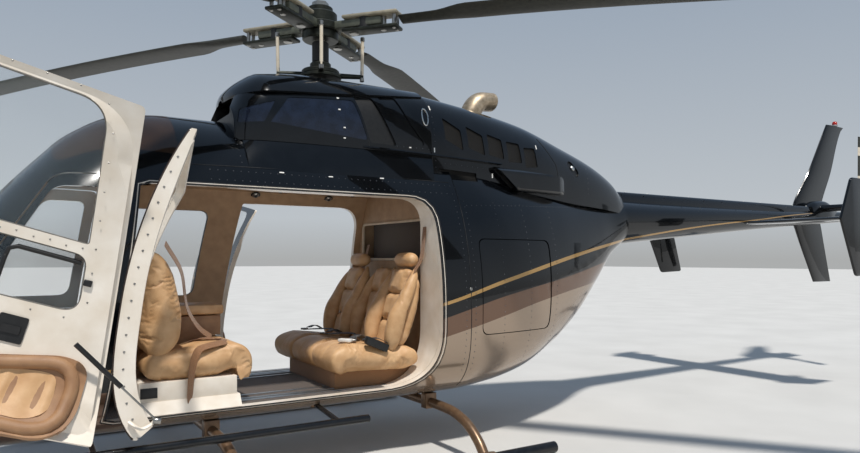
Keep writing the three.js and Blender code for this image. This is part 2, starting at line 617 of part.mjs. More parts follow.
// A thin symmetrical profile: leading edge first, chord along +X, thickness along the given direction
function foilRing(lead, trail, thickness, across) {
  const profile = [[0, 0], [0.04, 0.36], [0.25, 0.5], [0.6, 0.36], [1, 0.04]]; // chord share, thickness share
  const chord = trail.clone().sub(lead);
  const at = ([share, thick], sign) => lead.clone().addScaledVector(chord, share)
    .addScaledVector(across, sign * thick * thickness);
  return [...profile.map((p) => at(p, 1)), ...profile.slice(1).reverse().map((p) => at(p, -1))];
}
const stabFoil = (y, grow = 0) => foilRing(vec(STAB_X - STAB_CHORD / 2 - grow, y, STAB_Z),
  vec(STAB_X + STAB_CHORD / 2 + grow, y, STAB_Z), 44 + grow * 2, vec(0, 0, 1));
const stabBody = (reach, grow) => solid(loft([-reach, reach].map((y) => stabFoil(y, grow))));
const BOOM_WALL = 15;
const boomSpace = solid(loft([[BOOM_ROOT - 10, 1470, 1900, 205], [3400, 1520, 1895, 178], [4650, 1632, 1902, 135]]
  .map((s) => ovalRing(...s, BOOM_WALL))));
const boom = solid(loft(BOOM_SECTIONS.map((s) => ovalRing(...s)))).subtract(boomSpace).subtract(stabBody(400, FIT * 2));
add('tail_boom', boom, BLACK_PAINT);
add('stabilizer', stabBody(STAB_SPAN, 0), BLACK_PAINT);
for (const [name, side] of [['left', -1], ['right', 1]]) {
  const plate = [
    [STAB_X - 290, STAB_Z - 8, 20], [STAB_X - 102, STAB_Z + 402, 40], [STAB_X + 330, STAB_Z + 402, 40],
    [STAB_X + 214, STAB_Z, 20], [STAB_X + 396, STAB_Z - 560, 40], [STAB_X + 4, STAB_Z - 575, 40],
  ];
  const near = side * (STAB_SPAN + FIT);
  const far = side * (STAB_SPAN + 26);
  add(`end_plate_${name}`, sidePrism(plate, Math.min(near, far), Math.max(near, far), 2), BLACK_PAINT);
}

const clearOfBoom = solid(loft([[BOOM_ROOT - 20, 1470, 1900, 205], ...BOOM_SECTIONS.slice(1)]
  .map((s) => ovalRing(s[0], s[1], s[2], s[3], -FIT))));
const COVER_END = 6250;
const shaftCover = solid(loft([
  [BOOM_ROOT + FIT, 1700, 1985, 75, 2.6], [COVER_END, 1800, 1985, 60, 2.6],
].map((s) => archRing(s)))).subtract(clearOfBoom);
add('shaft_cover', shaftCover, BLACK_PAINT);

// Vertical fin on the starboard side of the boom's end
const FIN_SECTIONS = [ // height, leading edge, trailing edge, thickness
  [1040, 6696, 7116, 34],
  [1702, 6277, 6897, 56],
  [1870, 6190, 6848, 64],
  [2500, 6609, 7126, 48],
  [3040, 6960, 7362, 36],
  [3095, 6997, TAIL_END, 34],
];
const FIN_Y = 112 + 32;

// Tail gearbox fairing with the fin's seat and the tail rotor's shaft housing to port
const TAIL_ROTOR = vec(6500, -500, 1960);
const finBody = (grow) => loft(FIN_SECTIONS.map(([z, lead, trail, thickness]) => foilRing(
  vec(lead - grow, FIN_Y, z), vec(trail + grow, FIN_Y, z), thickness + 2 * grow, vec(0, 1, 0))));
const finSeat = solid(block(6430, 6815, 40, FIN_Y, 1830, 1955)).subtract(solid(finBody(FIT * 1.5)));
const gearboxFairing = solid(loft([
  [COVER_END + FIT, 1800, 1985, 60, 2.6], [6380, 1800, 2050, 95, 2.4], [6620, 1800, 2065, 100, 2.4], [6900, 1810, 1990, 60, 2.2],
].map((s) => archRing(s)))).add(finSeat)
  .add(solid(rod(vec(6500, 0, TAIL_ROTOR.z), vec(6500, TAIL_ROTOR.y + 60, TAIL_ROTOR.z), 46, 12, 40))).subtract(clearOfBoom);
add('tail_gearbox', gearboxFairing, BLACK_PAINT);

add('vertical_fin', finBody(0), BLACK_PAINT);
add('beacon', rod(vec(7215, FIN_Y, 3095 + FIT), vec(7215, FIN_Y, 3160), 34, 12, 24), RED_LENS);

// Landing gear
const CROSS_X = [-1070, 490];
const SADDLE_SIDES = 16; // the cross tubes' ends fit over the skids
const tubeTop = 330 - TUBE_RADIUS - 2;
function crossTube(x) {
  const half = [[0, tubeTop], [450, tubeTop], [680, tubeTop - 8], [860, tubeTop - 50], [1010, tubeTop - 145], [SKID_Y, 30]];
  const points = [...half.slice(1).reverse().map(([y, z]) => vec(x, -y, z)), ...half.map(([y, z]) => vec(x, y, z))];
  return solid(tube(points, TUBE_RADIUS, 22, 8));
}
for (const [name, x] of [['front', CROSS_X[0]], ['rear', CROSS_X[1]]]) {
  let bar = crossTube(x);
  const saddle = (SKID_RADIUS + FIT) / Math.cos(PI / SADDLE_SIDES);
  for (const side of [-1, 1]) {
    bar = bar.subtract(solid(rod(vec(x - 200, side * SKID_Y, SKID_Z),
      vec(x + 200, side * SKID_Y, SKID_Z), saddle, SADDLE_SIDES)));
  }
  for (const side of [-1, 1]) {
    const [near, far] = [370, 450].map((y) => side * y);
    bar = bar.add(solid(block(x - 45, x + 45, Math.min(near, far), Math.max(near, far), tubeTop, 430)).subtract(clearOfCabin));
  }
  const pieces = bar.decompose().sort((p, q) => q.volume() - p.volume());
  add(`cross_tube_${name}`, pieces[0], BRONZE_METAL);
}
for (const [name, side] of [['left', -1], ['right', 1]]) {
  const y = side * SKID_Y;
  const path = new THREE.CurvePath();
  path.add(new THREE.LineCurve3(vec(1070, y, SKID_Z), vec(-1750, y, SKID_Z)));
  path.add(new THREE.QuadraticBezierCurve3(vec(-1750, y, SKID_Z), vec(-2030, y, SKID_Z), vec(-2180, y, SKID_Z + 170)));
  const shoe = block(-1600, 950, y - 22, y + 22, 0, 14);
  add(`skid_${name}`, union(tubeAlong(path, SKID_RADIUS, 15, 10), shoe), DARK_METAL);
}
for (const [name, side] of [['left', -1], ['right', 1]]) {
  const y = side * 850;
  let step = solid(rod(vec(-1950, y, 350), vec(-220, y, 350), 24, 10));
  for (const x of [-1750, -420]) {
    step = step.add(solid(rod(vec(x, y, 350), vec(x, side * 380, 404), 16, 8)).subtract(clearOfCabin));
  }
  add(`step_${name}`, step.decompose().sort((p, q) => q.volume() - p.volume())[0], DARK_METAL);
}

// Cabin fittings
const seatProfile = (x, dir) => [ // a seat in side view, facing dir, its back's foot at x
  [x, FLOOR_TOP + FIT, 20], [x + dir * 430, FLOOR_TOP + FIT, 20], [x + dir * 450, 740, 50], [x + dir * 130, 690, 30],
  [x - dir * 10, 1180, 20], [x - dir * 20, 1400, 40], [x - dir * 110, 1400, 40], [x - dir * 60, 800, 60],
];
for (const [name, side] of [['left', -1], ['right', 1]]) {
  const inner = side * 110;
  const outer = side * 425;
  add(`crew_seat_${name}`, sidePrism(seatProfile(-1640, -1), Math.min(inner, outer), Math.max(inner, outer), 3), LEATHER);
}
add('instrument_console', sidePrism([
  [-2560, FLOOR_TOP + FIT, 20], [-2120, FLOOR_TOP + FIT, 20], [-2120, 700, 60], [-2300, 1060, 40], [-2560, 1000, 40],
], -150, 150, 3), BLACK_PLASTIC);

const MID_BASE_TOP = 640;
add('mid_seat_base', block(-1480, -950, -500, 500, FLOOR_TOP + FIT, MID_BASE_TOP), CREAM_PAINT);
for (const [name, side] of [['left', -1], ['right', 1]]) {
  const inner = side * 170;
  const outer = side * 565;
  add(`mid_seat_${name}`, sidePrism([
    [-1480, MID_BASE_TOP + FIT, 20], [-850, MID_BASE_TOP + FIT, 40], [-845, 815, 60], [-1310, 780, 20],
    [-1370, 1340, 50], [-1475, 1340, 50],
  ], Math.min(inner, outer), Math.max(inner, outer), 3), LEATHER);
}
add('mid_console', block(-1290, -920, -150, 150, MID_BASE_TOP + FIT, 1040), LEATHER);

// Rear bench: three places on one cushion, three backs with headrests
const BENCH_TOP = 590;
const BENCH_FRONT = -330;
const BENCH_BACK = 105; // foot of the back's front face
add('bench_base', block(BENCH_FRONT + 70, BENCH_BACK + 350, -420, 420, FLOOR_TOP + FIT, BENCH_TOP), CREAM_PAINT);
add('bench_cushion', sidePrism([
  [BENCH_FRONT, BENCH_TOP + FIT, 30], [BENCH_BACK - 18, BENCH_TOP + FIT, 10], [BENCH_BACK - 18, 715, 10],
  [BENCH_FRONT, 740, 50],
], -562, 562, 3), LEATHER);
const headrest = (y) => solid(block(BENCH_BACK + 110, BENCH_BACK + 230, y - 110, y + 110, 1200, 1390));
const benchBack = solid(sidePrism([
  [BENCH_BACK, BENCH_TOP + FIT, 10], [BENCH_BACK + 350, BENCH_TOP + FIT, 10], [BENCH_BACK + 350, 800, 40],
  [BENCH_BACK + 265, 1260, 40], [BENCH_BACK + 140, 1260, 40], [BENCH_BACK - 15, 800, 60],
], -570, 570, 3));
add('bench_back', [-378, 0, 378].reduce((sum, y) => sum.add(headrest(y)), benchBack), LEATHER);

// Gas strut from the passenger door to the litter door's foot
const restMatrix = (group) => {
  helicopter.updateMatrixWorld(true);
  return group.matrixWorld.clone();
};
const doorEnd = STRUT_PIVOT.clone().applyMatrix4(restMatrix(leftGroup));
const litterEnd = STRUT_EYE.clone().applyMatrix4(restMatrix(litterGroup));
const strutAxis = litterEnd.clone().sub(doorEnd).normalize();
const strutAt = (distance) => doorEnd.clone().addScaledVector(strutAxis, distance);
const STRUT_LENGTH = litterEnd.distanceTo(doorEnd);
const BARREL_LENGTH = STRUT_LENGTH * 0.55;
const ROD_RADIUS = 4;
const ROD_SIDES = 12;
const strutBore = (ROD_RADIUS + 0.02) / Math.cos(PI / ROD_SIDES);
add('strut_barrel', solid(rod(strutAt(4.5), strutAt(BARREL_LENGTH), 10, 12))
  .subtract(solid(rod(strutAt(30), strutAt(BARREL_LENGTH + 5), strutBore, ROD_SIDES)))
  .subtract(solid(ball(doorEnd, BALL_RADIUS + FIT))), BLACK_PLASTIC);
add('strut_rod', rod(strutAt(BARREL_LENGTH - 40), strutAt(STRUT_LENGTH - 14), ROD_RADIUS, ROD_SIDES), STEEL);

// Main rotor: mast, swashplate, pitch links, hub and four drooping blades
const CONE_DROOP = 0.014e-3; // droop in millimetres for each square millimetre of radius
const droop = (radius) => -CONE_DROOP * radius * radius;
const bladeAngle = (index) => radians(180 - BLADE_AZIMUTH + 90 * index); // from +X towards +Y
const rotor = new THREE.Group();
rotor.position.set(MAST_X, 0, HUB_Z);
helicopter.add(rotor);

const MAST_RADIUS = 45;
const SWASH_Z = 2665 - HUB_Z;
const mastFoot = 2420 + FIT - HUB_Z;
let mast = union(
  rod(vec(0, 0, mastFoot), vec(0, 0, -90 - FIT), MAST_RADIUS, 16),
  rod(vec(0, 0, SWASH_Z - 32), vec(0, 0, SWASH_Z + 32), 150, 20),
);
for (let i = 0; i < 4; i++) {
  const angle = bladeAngle(i) + radians(30);
  const at = (radius, z) => vec(radius * Math.cos(angle), radius * Math.sin(angle), z);
  mast = mast.add(solid(rod(at(120, SWASH_Z), at(310, SWASH_Z), 18, 8)))
    .add(solid(rod(at(300, SWASH_Z - 20), at(305, -60), 11, 8)));
}
add('rotor_mast', mast, DARK_METAL, rotor);

function hubArm(angle) {
  return loft([[60, 150, 90], [250, 110, 70], [520, 130, 60], [640, 120, 60]].map(([radius, width, height]) => {
    const corners = [[1, 1], [-1, 1], [-1, -1], [1, -1]];
    return corners.map(([w, h]) => vec(radius, w * width / 2, h * height / 2 + droop(radius)));
  })).rotateZ(angle);
}
const hub = union(rod(vec(0, 0, -90), vec(0, 0, 110), 150, 20), rod(vec(0, 0, 100), vec(0, 0, 190), 90, 16),
  ...[0, 1, 2, 3].map((i) => hubArm(bladeAngle(i))));
add('rotor_hub', hub, DARK_METAL, rotor);

const BLADE_TABLE = [ // radius, chord, thickness
  [640 + FIT, 130, 56], [900, 150, 50], [1150, BLADE_CHORD, 34], [2200, BLADE_CHORD, 30], [3400, BLADE_CHORD, 28],
  [4500, BLADE_CHORD, 26], [ROTOR_RADIUS, BLADE_CHORD, 22],
];
for (let i = 0; i < 4; i++) {
  const rings = BLADE_TABLE.map(([radius, chord, thickness]) => foilRing(
    vec(radius, chord * 0.35, droop(radius)), vec(radius, -chord * 0.65, droop(radius)), thickness, vec(0, 0, 1)));
  const blade = add(`main_blade_${i + 1}`, loft(rings), BLADE_GREY, rotor);
  blade.rotation.z = bladeAngle(i);
}

// Tail rotor: a hub on its shaft and two blades, one standing up
const TAIL_RADIUS = 825;
const TAIL_CHORD = 130;
const tailHub = union(
  rod(vec(0, 60 - FIT, 0), vec(0, -70, 0), 34, 12),
  block(-45, 45, -40, 20, -120, 120),
  ...[1, -1].map((up) => loft([100, 190, 260, TAIL_RADIUS].map((radius, k) => foilRing(
    vec(up * -[40, 50, 55, 55][k], -10, up * radius), vec(up * [40, 70, 75, 75][k], -10, up * radius), [30, 22, 16, 12][k], vec(0, 1, 0))))),
);
add('tail_rotor', tailHub, BLADE_GREY).position.copy(TAIL_ROTOR);

// The origin lies on the ground at the middle of the whole outline
const bladeReach = (index) => MAST_X + Math.cos(bladeAngle(index)) * ROTOR_RADIUS
  - Math.abs(Math.sin(bladeAngle(index))) * BLADE_CHORD * 0.65;
const foremost = Math.min(NOSE, ...[0, 1, 2, 3].map(bladeReach));
helicopter.position.x = -(foremost + TAIL_END) / 2;

export default helicopter;
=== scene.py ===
# A light single-turbine helicopter with its port doors folded open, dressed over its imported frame.
# Metres. The tables give stations aft of a datum near the mast; SHIFT moves them into the frame.
import math
import bmesh
import bpy
from mathutils import Matrix, Vector


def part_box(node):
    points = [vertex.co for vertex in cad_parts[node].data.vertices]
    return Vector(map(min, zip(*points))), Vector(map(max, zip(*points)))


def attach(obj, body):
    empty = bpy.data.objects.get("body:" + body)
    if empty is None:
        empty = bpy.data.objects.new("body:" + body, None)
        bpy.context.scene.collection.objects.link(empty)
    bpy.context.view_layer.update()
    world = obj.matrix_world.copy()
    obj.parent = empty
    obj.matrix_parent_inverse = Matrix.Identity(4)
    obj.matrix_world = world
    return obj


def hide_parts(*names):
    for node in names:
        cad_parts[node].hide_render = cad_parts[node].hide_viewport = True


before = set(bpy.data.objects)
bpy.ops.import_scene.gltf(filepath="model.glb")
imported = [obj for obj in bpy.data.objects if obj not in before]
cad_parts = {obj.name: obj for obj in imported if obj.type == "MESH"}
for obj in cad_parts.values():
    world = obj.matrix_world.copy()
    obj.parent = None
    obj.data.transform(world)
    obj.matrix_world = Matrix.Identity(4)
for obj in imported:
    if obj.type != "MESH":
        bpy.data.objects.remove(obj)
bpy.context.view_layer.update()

# The boom's front end in the tables, and the gap that the part leaves between seated bodies
BOOM_ROOT = 2.84
GAP = 0.0003
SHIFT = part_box("tail_boom")[0].x - (BOOM_ROOT + GAP)

# The camera, fitted to the photograph's frame of 860 by 453
CAMERA_PLACE = (-2.132 + SHIFT, -4.568, 1.331)
CAMERA_TURN = (math.radians(89.65), 0.0, math.radians(-32.34))
FOCAL_LENGTH = 28.256
LENS_SHIFT = 0.0428

# Main sizes, as in the part
WALL = 0.04
SEAM = 0.006
REAR_SEAM = 1.9
POST_LEAN = 0.15
HINGE_Y = 0.751
LITTER_FRONT = -1.6
DOOR_SPLIT = -0.7
RIGHT_FRONT = -0.7
OPENING_REAR = 0.4
CREW_REAR = -1.69
SILL_Z = 0.46
OPENING_TOP = 1.755
CABIN_END = 0.64
CEILING_Z = 1.85
FLOOR_TOP = 0.462
LITTER_OPEN = 101
PASSENGER_OPEN = 88
RIGHT_OPEN = 90
PORT = -1
STARBOARD = 1
HUB_X, HUB_Z = -0.18, 3.0
SIDES = (PORT, STARBOARD)
NAMED_SIDES = (("left", PORT), ("right", STARBOARD))

# station, belly, roof, half width, height of the widest line, roundness above it
HULL = [
    (-3.028, 0.725, 0.755, 0.02, 0.74, 2), (-3.02, 0.69, 0.79, 0.07, 0.74, 2),
    (-2.985, 0.6, 0.87, 0.19, 0.74, 2), (-2.9, 0.5, 0.95, 0.34, 0.74, 2.1),
    (-2.76, 0.42, 1.03, 0.46, 0.75, 2.3), (-2.6, 0.37, 1.13, 0.555, 0.78, 2.5),
    (-2.4, 0.34, 1.39, 0.635, 0.83, 2.6), (-2.2, 0.33, 1.65, 0.685, 0.89, 2.5),
    (-2.0, 0.33, 1.88, 0.712, 0.94, 2.3), (-1.8, 0.33, 2.075, 0.728, 0.97, 2.15),
    (-1.55, 0.33, 2.205, 0.735, 0.99, 2), (-1.25, 0.33, 2.24, 0.735, 1.0, 1.95),
    (0.64, 0.335, 2.24, 0.735, 1.0, 1.95), (1.0, 0.355, 2.2, 0.705, 1.04, 2),
    (1.35, 0.405, 2.13, 0.65, 1.1, 2), (1.7, 0.53, 2.06, 0.56, 1.18, 2),
    (2.05, 0.76, 2.0, 0.45, 1.28, 2), (2.35, 1.05, 1.96, 0.345, 1.42, 2),
    (2.6, 1.31, 1.93, 0.26, 1.56, 2), (2.84, 1.47, 1.9, 0.205, 1.685, 2),
]
# station, base, top, half width, roundness
FAIRING = [
    (-0.9, 2.08, 2.35, 0.33, 2.6), (-0.835, 2.08, 2.475, 0.38, 2.8), (-0.7, 2.08, 2.545, 0.42, 3),
    (-0.34, 2.08, 2.59, 0.45, 3), (0.48, 2.08, 2.59, 0.46, 3),
]
COWL = [
    (0.48, 1.9, 2.59, 0.46, 3), (0.86, 1.9, 2.55, 0.455, 3), (1.47, 1.85, 2.47, 0.42, 2.8),
    (2.0, 1.8, 2.33, 0.35, 2.6), (2.4, 1.78, 2.21, 0.28, 2.4), (2.68, 1.76, 2.09, 0.215, 2.2),
    (2.84, 1.74, 1.985, 0.16, 2),
]
# station, bottom, top, half width
BOOM = [(2.84, 1.47, 1.9, 0.205), (3.4, 1.52, 1.895, 0.178), (5.3, 1.682, 1.905, 0.112),
        (7.06, 1.81, 1.945, 0.072)]
# height, leading edge, trailing edge, thickness
FIN = [
    (1.04, 6.696, 7.116, 0.034), (1.702, 6.277, 6.897, 0.056), (1.87, 6.19, 6.848, 0.064),
    (2.5, 6.609, 7.126, 0.048), (3.04, 6.96, 7.362, 0.036), (3.095, 6.997, 7.43, 0.034),
]
FIN_Y = 0.144

# Colour bands on the body: station and height of each edge
GOLD_TOP = [
    (-3.1, 0.8), (-2.4, 0.74), (-1.6, 0.76), (-0.7, 0.84), (0.337, 1.017), (0.975, 1.186), (1.86, 1.375),
    (2.935, 1.538), (3.983, 1.675), (5.097, 1.785), (5.982, 1.875), (7.6, 1.99),
]
GOLD_LOW = [
    (-3.1, 0.785), (-2.4, 0.725), (-1.6, 0.742), (-0.7, 0.82), (0.337, 0.995),
            (0.972, 1.157), (1.857, 1.345),
    (2.96, 1.521), (3.983, 1.66), (5.097, 1.773), (5.982, 1.865), (7.6, 1.98),
]
ROSE_TOP = [
    (-3.1, 0.69), (-2.4, 0.63), (-1.6, 0.64), (-0.7, 0.72), (0.305, 0.901), (0.97, 1.062), (1.848, 1.209),
    (2.361, 1.297), (2.96, 1.38), (4.0, 1.5), (5.982, 1.68), (7.6, 1.83),
]
ROSE_LOW = [
    (-3.1, 0.44), (-2.4, 0.4), (-1.6, 0.42), (-0.7, 0.53), (0.289, 0.765), (0.952, 0.917), (1.402, 1.016),
    (2.197, 1.128), (2.96, 1.2), (4.0, 1.3), (5.982, 1.5), (7.6, 1.7),
]
BAND_START, BAND_LENGTH = -3.2, 11.0
BAND_FOOT, BAND_HEIGHT = 0.0, 2.2


# Curves and sections

def slopes(xs, ys):
    """Slopes of a smooth curve through points that never overshoots them."""
    runs = [(ys[i + 1] - ys[i]) / (xs[i + 1] - xs[i]) for i in range(len(xs) - 1)]
    middle = [0.0 if a * b <= 0 else 2 * a * b / (a + b) for a, b in zip(runs, runs[1:])]
    return [runs[0]] + middle + [runs[-1]]


def smooth_table(rows):
    """A function of the first column that gives the others, smoothly."""
    xs = [row[0] for row in rows]
    columns = list(zip(*rows))[1:]
    tangents = [slopes(xs, column) for column in columns]

    def value(x):
        i = max(0, min(len(xs) - 2, sum(1 for known in xs if known <= x) - 1))
        width = xs[i + 1] - xs[i]
        t = max(0.0, min(1.0, (x - xs[i]) / width))
        low, rise = (1 + 2 * t) * (1 - t) ** 2, t * (1 - t) ** 2
        high, fall = t * t * (3 - 2 * t), t * t * (t - 1)
        return [low * c[i] + rise * width * m[i] + high * c[i + 1] + fall * width * m[i + 1]
                for c, m in zip(columns, tangents)]
    return value


hull_at = smooth_table(HULL)
fairing_at = smooth_table(FAIRING)
cowl_at = smooth_table(COWL)
boom_at = smooth_table(BOOM)
fin_at = smooth_table(FIN)


def steps(start, end, count):
    """Even steps from start to end, with both of them."""
    return [start + (end - start) * i / count for i in range(count + 1)]


def round_angles(count):
    """Even angles once round a circle."""
    return [2 * math.pi * i / count for i in range(count)]


def vectors(*corners):
    return [Vector(corner) for corner in corners]


def bent(value, power):
    """A sine or cosine raised so that the curve it draws is squarer."""
    return math.copysign(abs(value) ** (2 / power), value)


def belly_roundness(x):
    """The lower body's squareness, fuller along the cabin."""
    return 2.5 + 0.9 * max(0.0, min(1.0, (x + 2.9) / 0.7, (1.7 - x) / 1.0))


def hull_ring(x, inset=0.0, ceiling=None, count=88):
    belly, roof, half, widest, power = hull_at(x)
    ring = []
    for angle in round_angles(count):
        up = math.sin(angle) >= 0
        reach = (roof - widest if up else widest - belly) - inset
        round_ = power if up else belly_roundness(x)
        z = widest + reach * bent(math.sin(angle), round_)
        y = (half - inset) * bent(math.cos(angle), round_)
        ring.append(Vector((x, y, min(z, ceiling) if ceiling else z)))
    return ring


def half_width(x, z, inset=0.0):
    """Half the body's width at a station and height."""
    belly, roof, half, widest, power = hull_at(x)
    up = z > widest
    share = (z - widest) / (roof - widest - inset) if up else (widest - z) / (widest - belly - inset)
    round_ = power if up else belly_roundness(x)
    return (half - inset) * max(0.0, 1 - min(1.0, abs(share)) ** round_) ** (1 / round_)


def arch_ring(row, inset=0.0, count=48):
    """A cowling's section: upright sides and a rounded top over a flat base."""
    x, base, top, half, power = row
    ring = []
    for i in range(count + 1):
        angle = math.pi * i / count
        ring.append(Vector((x, (half - inset) * bent(math.cos(angle), power),
                            base + (top - inset - base) * bent(math.sin(angle), power))))
    return ring


def arch_half(row, z, inset=0.0):
    _, base, top, half, power = row
    share = min(1.0, max(0.0, (z - base) / (top - inset - base)))
    return (half - inset) * (1 - share ** power) ** (1 / power)


def oval_ring(x, inset=0.0, count=48):
    bottom, top, half = boom_at(x)
    middle, rise = (top + bottom) / 2, (top - bottom) / 2
    return [Vector((x, (half - inset) * math.cos(a), middle + (rise - inset) * math.sin(a)))
            for a in round_angles(count)]


def leaning(station, z):
    return station + POST_LEAN * (z - 1.0)


def rounded(corners, count=10):
    """Points round a polygon whose corners (x, z, reach) are rounded from reach before them."""
    points = []
    for i, (x, z, reach) in enumerate(corners):
        corner = Vector((x, z))
        if not reach:
            points.append(corner)
            continue
        before, after = [Vector(corners[(i + turn) % len(corners)][:2]) for turn in (-1, 1)]
        start = corner + (before - corner).normalized() * reach
        end = corner + (after - corner).normalized() * reach
        for t in steps(0.0, 1.0, count):
            points.append(start * (1 - t) ** 2 + corner * 2 * t * (1 - t) + end * t * t)
    return points


# Lower and upper edges of the crew doors, and of the windows in the doors and beside them
CREW_DOOR = (0.5, 1.795)
CREW_WINDOW = (1.085, 1.72)
LITTER_WINDOW = (1.085, 1.69)
FIXED_WINDOW = (1.06, 1.69)
PASSENGER_WINDOW = (0.925, 1.715)
# The crossbar in the passenger doors' windows, and how far in their edges lie
CROSSBAR = (1.148, 1.19)
WINDOW_FRONT = 0.123
WINDOW_REAR = OPENING_REAR - 0.09


def crew_outline(inset=0.0):
    low, high = CREW_DOOR[0] + inset, CREW_DOOR[1] - inset
    return rounded([
        (-2.27 + inset, low, 0.13), (leaning(CREW_REAR, low) - inset * REAR_SEAM, low, 0.19),
        (leaning(CREW_REAR, high) - inset * REAR_SEAM, high, 0.05), (-1.9 + inset, high, 0.08),
        (-2.37 + inset * 1.3, 1.06, 0.09)])


def opening_outline(front, inset=0.0, front_inset=None):
    low, high = SILL_Z + inset, OPENING_TOP - inset
    ahead = inset if front_inset is None else front_inset
    rear = OPENING_REAR - inset * REAR_SEAM
    return rounded([(leaning(front, low) + ahead, low, 0.02), (rear, low, 0.38), (rear, high, 0.19),
                    (leaning(front, high) + ahead, high, 0.02)], 16)


def litter_outline(inset=0.0):
    low, high = SILL_Z + inset, OPENING_TOP - inset
    rear = DOOR_SPLIT - SEAM
    return rounded([(leaning(LITTER_FRONT, low) + inset, low, 0.02), (leaning(rear, low), low, 0.02),
                    (leaning(rear, high), high, 0.02), (leaning(LITTER_FRONT, high) + inset, high, 0.02)])


def window_outline(front, rear, heights, reach, inset):
    corners = []
    for z, ends in zip(heights, ((front, rear), (rear, front))):
        for x in ends:
            corners.append((leaning(x, z) + (inset if x == front else -inset),
                            z + (inset if z == heights[0] else -inset), reach))
    return rounded(corners)


def crew_window(inset=0.0):
    low, high = CREW_WINDOW
    rear = CREW_REAR - 0.075
    return rounded([
        (-2.29 + inset, low + inset, 0.06), (leaning(rear, low) - inset, low + inset, 0.07),
        (leaning(rear, high) - inset, high - inset, 0.05), (-1.905 + inset, high - inset, 0.06)])


def litter_window(inset=0.0):
    return window_outline(LITTER_FRONT + 0.08, DOOR_SPLIT - 0.115, LITTER_WINDOW, 0.06, inset)


def fixed_window(inset=0.0):
    return window_outline(LITTER_FRONT + 0.1, RIGHT_FRONT - 0.23, FIXED_WINDOW, 0.07, inset)


def passenger_window(front, inset=0.0):
    low, high = PASSENGER_WINDOW[0] + inset, PASSENGER_WINDOW[1] - inset
    return rounded([
        (leaning(front + WINDOW_FRONT, low) + inset, low, 0.06), (WINDOW_REAR - inset, low, 0.13),
        (WINDOW_REAR - inset, high, 0.15), (leaning(front + WINDOW_FRONT, high) + inset, high, 0.07)])


# Hinge lines of the doors, which lean aft, and where they stand at rest
LEAN_AXIS = Vector((POST_LEAN, 0, 1)).normalized()


def turned(point, axis, degrees):
    turn = Matrix.Rotation(math.radians(degrees), 4, axis)
    return Matrix.Translation(point) @ turn @ Matrix.Translation(-point)


LITTER_REST = turned(Vector((LITTER_FRONT, -HINGE_Y, 1)), -LEAN_AXIS, LITTER_OPEN)
PASSENGER_REST = LITTER_REST @ turned(Vector((DOOR_SPLIT - SEAM / 2, -HINGE_Y, 1)),
                                      -LEAN_AXIS, PASSENGER_OPEN)
RIGHT_REST = turned(Vector((RIGHT_FRONT, HINGE_Y, 1)), LEAN_AXIS, RIGHT_OPEN)
REST = {"litter_door": LITTER_REST, "passenger_door_left": PASSENGER_REST,
        "passenger_door_right": RIGHT_REST}


# Materials

def to_linear(code):
    """An sRGB hex colour as linear red, green, blue and alpha."""
    parts = [int(code[i:i + 2], 16) / 255 for i in (0, 2, 4)]
    return tuple(c / 12.92 if c <= 0.04045 else ((c + 0.055) / 1.055) ** 2.4 for c in parts) + (1.0,)


def add_node(tree, kind, inputs=None, links=None, **settings):
    made = tree.nodes.new(kind)
    for name, value in settings.items():
        setattr(made, name, value)
    for key, value in (inputs or {}).items():
        made.inputs[key].default_value = value
    for key, source in (links or {}).items():
        tree.links.new(source, made.inputs[key])
    return made


def surface(name, base, roughness, metallic=0.0, **sockets):
    """A new material with its shader set; returns it with its tree and shader."""
    made = bpy.data.materials.new(name)
    made.use_nodes = True
    tree = made.node_tree
    shader = tree.nodes["Principled BSDF"]
    shader.inputs["Base Color"].default_value = to_linear(base)
    shader.inputs["Roughness"].default_value = roughness
    shader.inputs["Metallic"].default_value = metallic
    for key, value in sockets.items():
        shader.inputs[key.replace("_", " ")].default_value = value
    made.diffuse_color = to_linear(base)
    return made, tree, shader


def millimetres(tree, spacing, stretch=(1, 1, 1)):
    """Object coordinates scaled so that one pattern unit is spacing millimetres."""
    place = add_node(tree, "ShaderNodeTexCoord")
    scale = [1000 / (spacing * s) for s in stretch]
    return add_node(tree, "ShaderNodeMapping", {"Scale": scale},
                    {"Vector": place.outputs["Object"]}).outputs["Vector"]


def ramped(tree, value, *stops):
    """A colour ramp over a value; stops are its two (position, colour) ends."""
    ramp = add_node(tree, "ShaderNodeValToRGB", links={"Fac": value})
    for element, (position, colour) in zip(ramp.color_ramp.elements, stops):
        element.position = position
        element.color = to_linear(colour)
    return ramp.outputs["Color"]


def noise(tree, vector, detail):
    """Soft noise as a factor from 0 to 1."""
    return add_node(tree, "ShaderNodeTexNoise", {"Scale": 1.0, "Detail": detail},
                    {"Vector": vector}).outputs["Fac"]


def vary_colour(tree, shader, vector, low, high, detail=3, lo=0.3, hi=0.7):
    """Two shades of the base colour, mixed by soft noise."""
    tree.links.new(ramped(tree, noise(tree, vector, detail), (lo, low), (hi, high)),
                   shader.inputs["Base Color"])


def vary_roughness(tree, shader, vector, low, high):
    span = add_node(tree, "ShaderNodeMapRange", {"To Min": low, "To Max": high},
                    {"Value": noise(tree, vector, 4.0)})
    tree.links.new(span.outputs["Result"], shader.inputs["Roughness"])


def bump(tree, shader, height, depth, strength=1.0):
    made = add_node(tree, "ShaderNodeBump", {"Distance": depth, "Strength": strength}, {"Height": height})
    tree.links.new(made.outputs["Normal"], shader.inputs["Normal"])


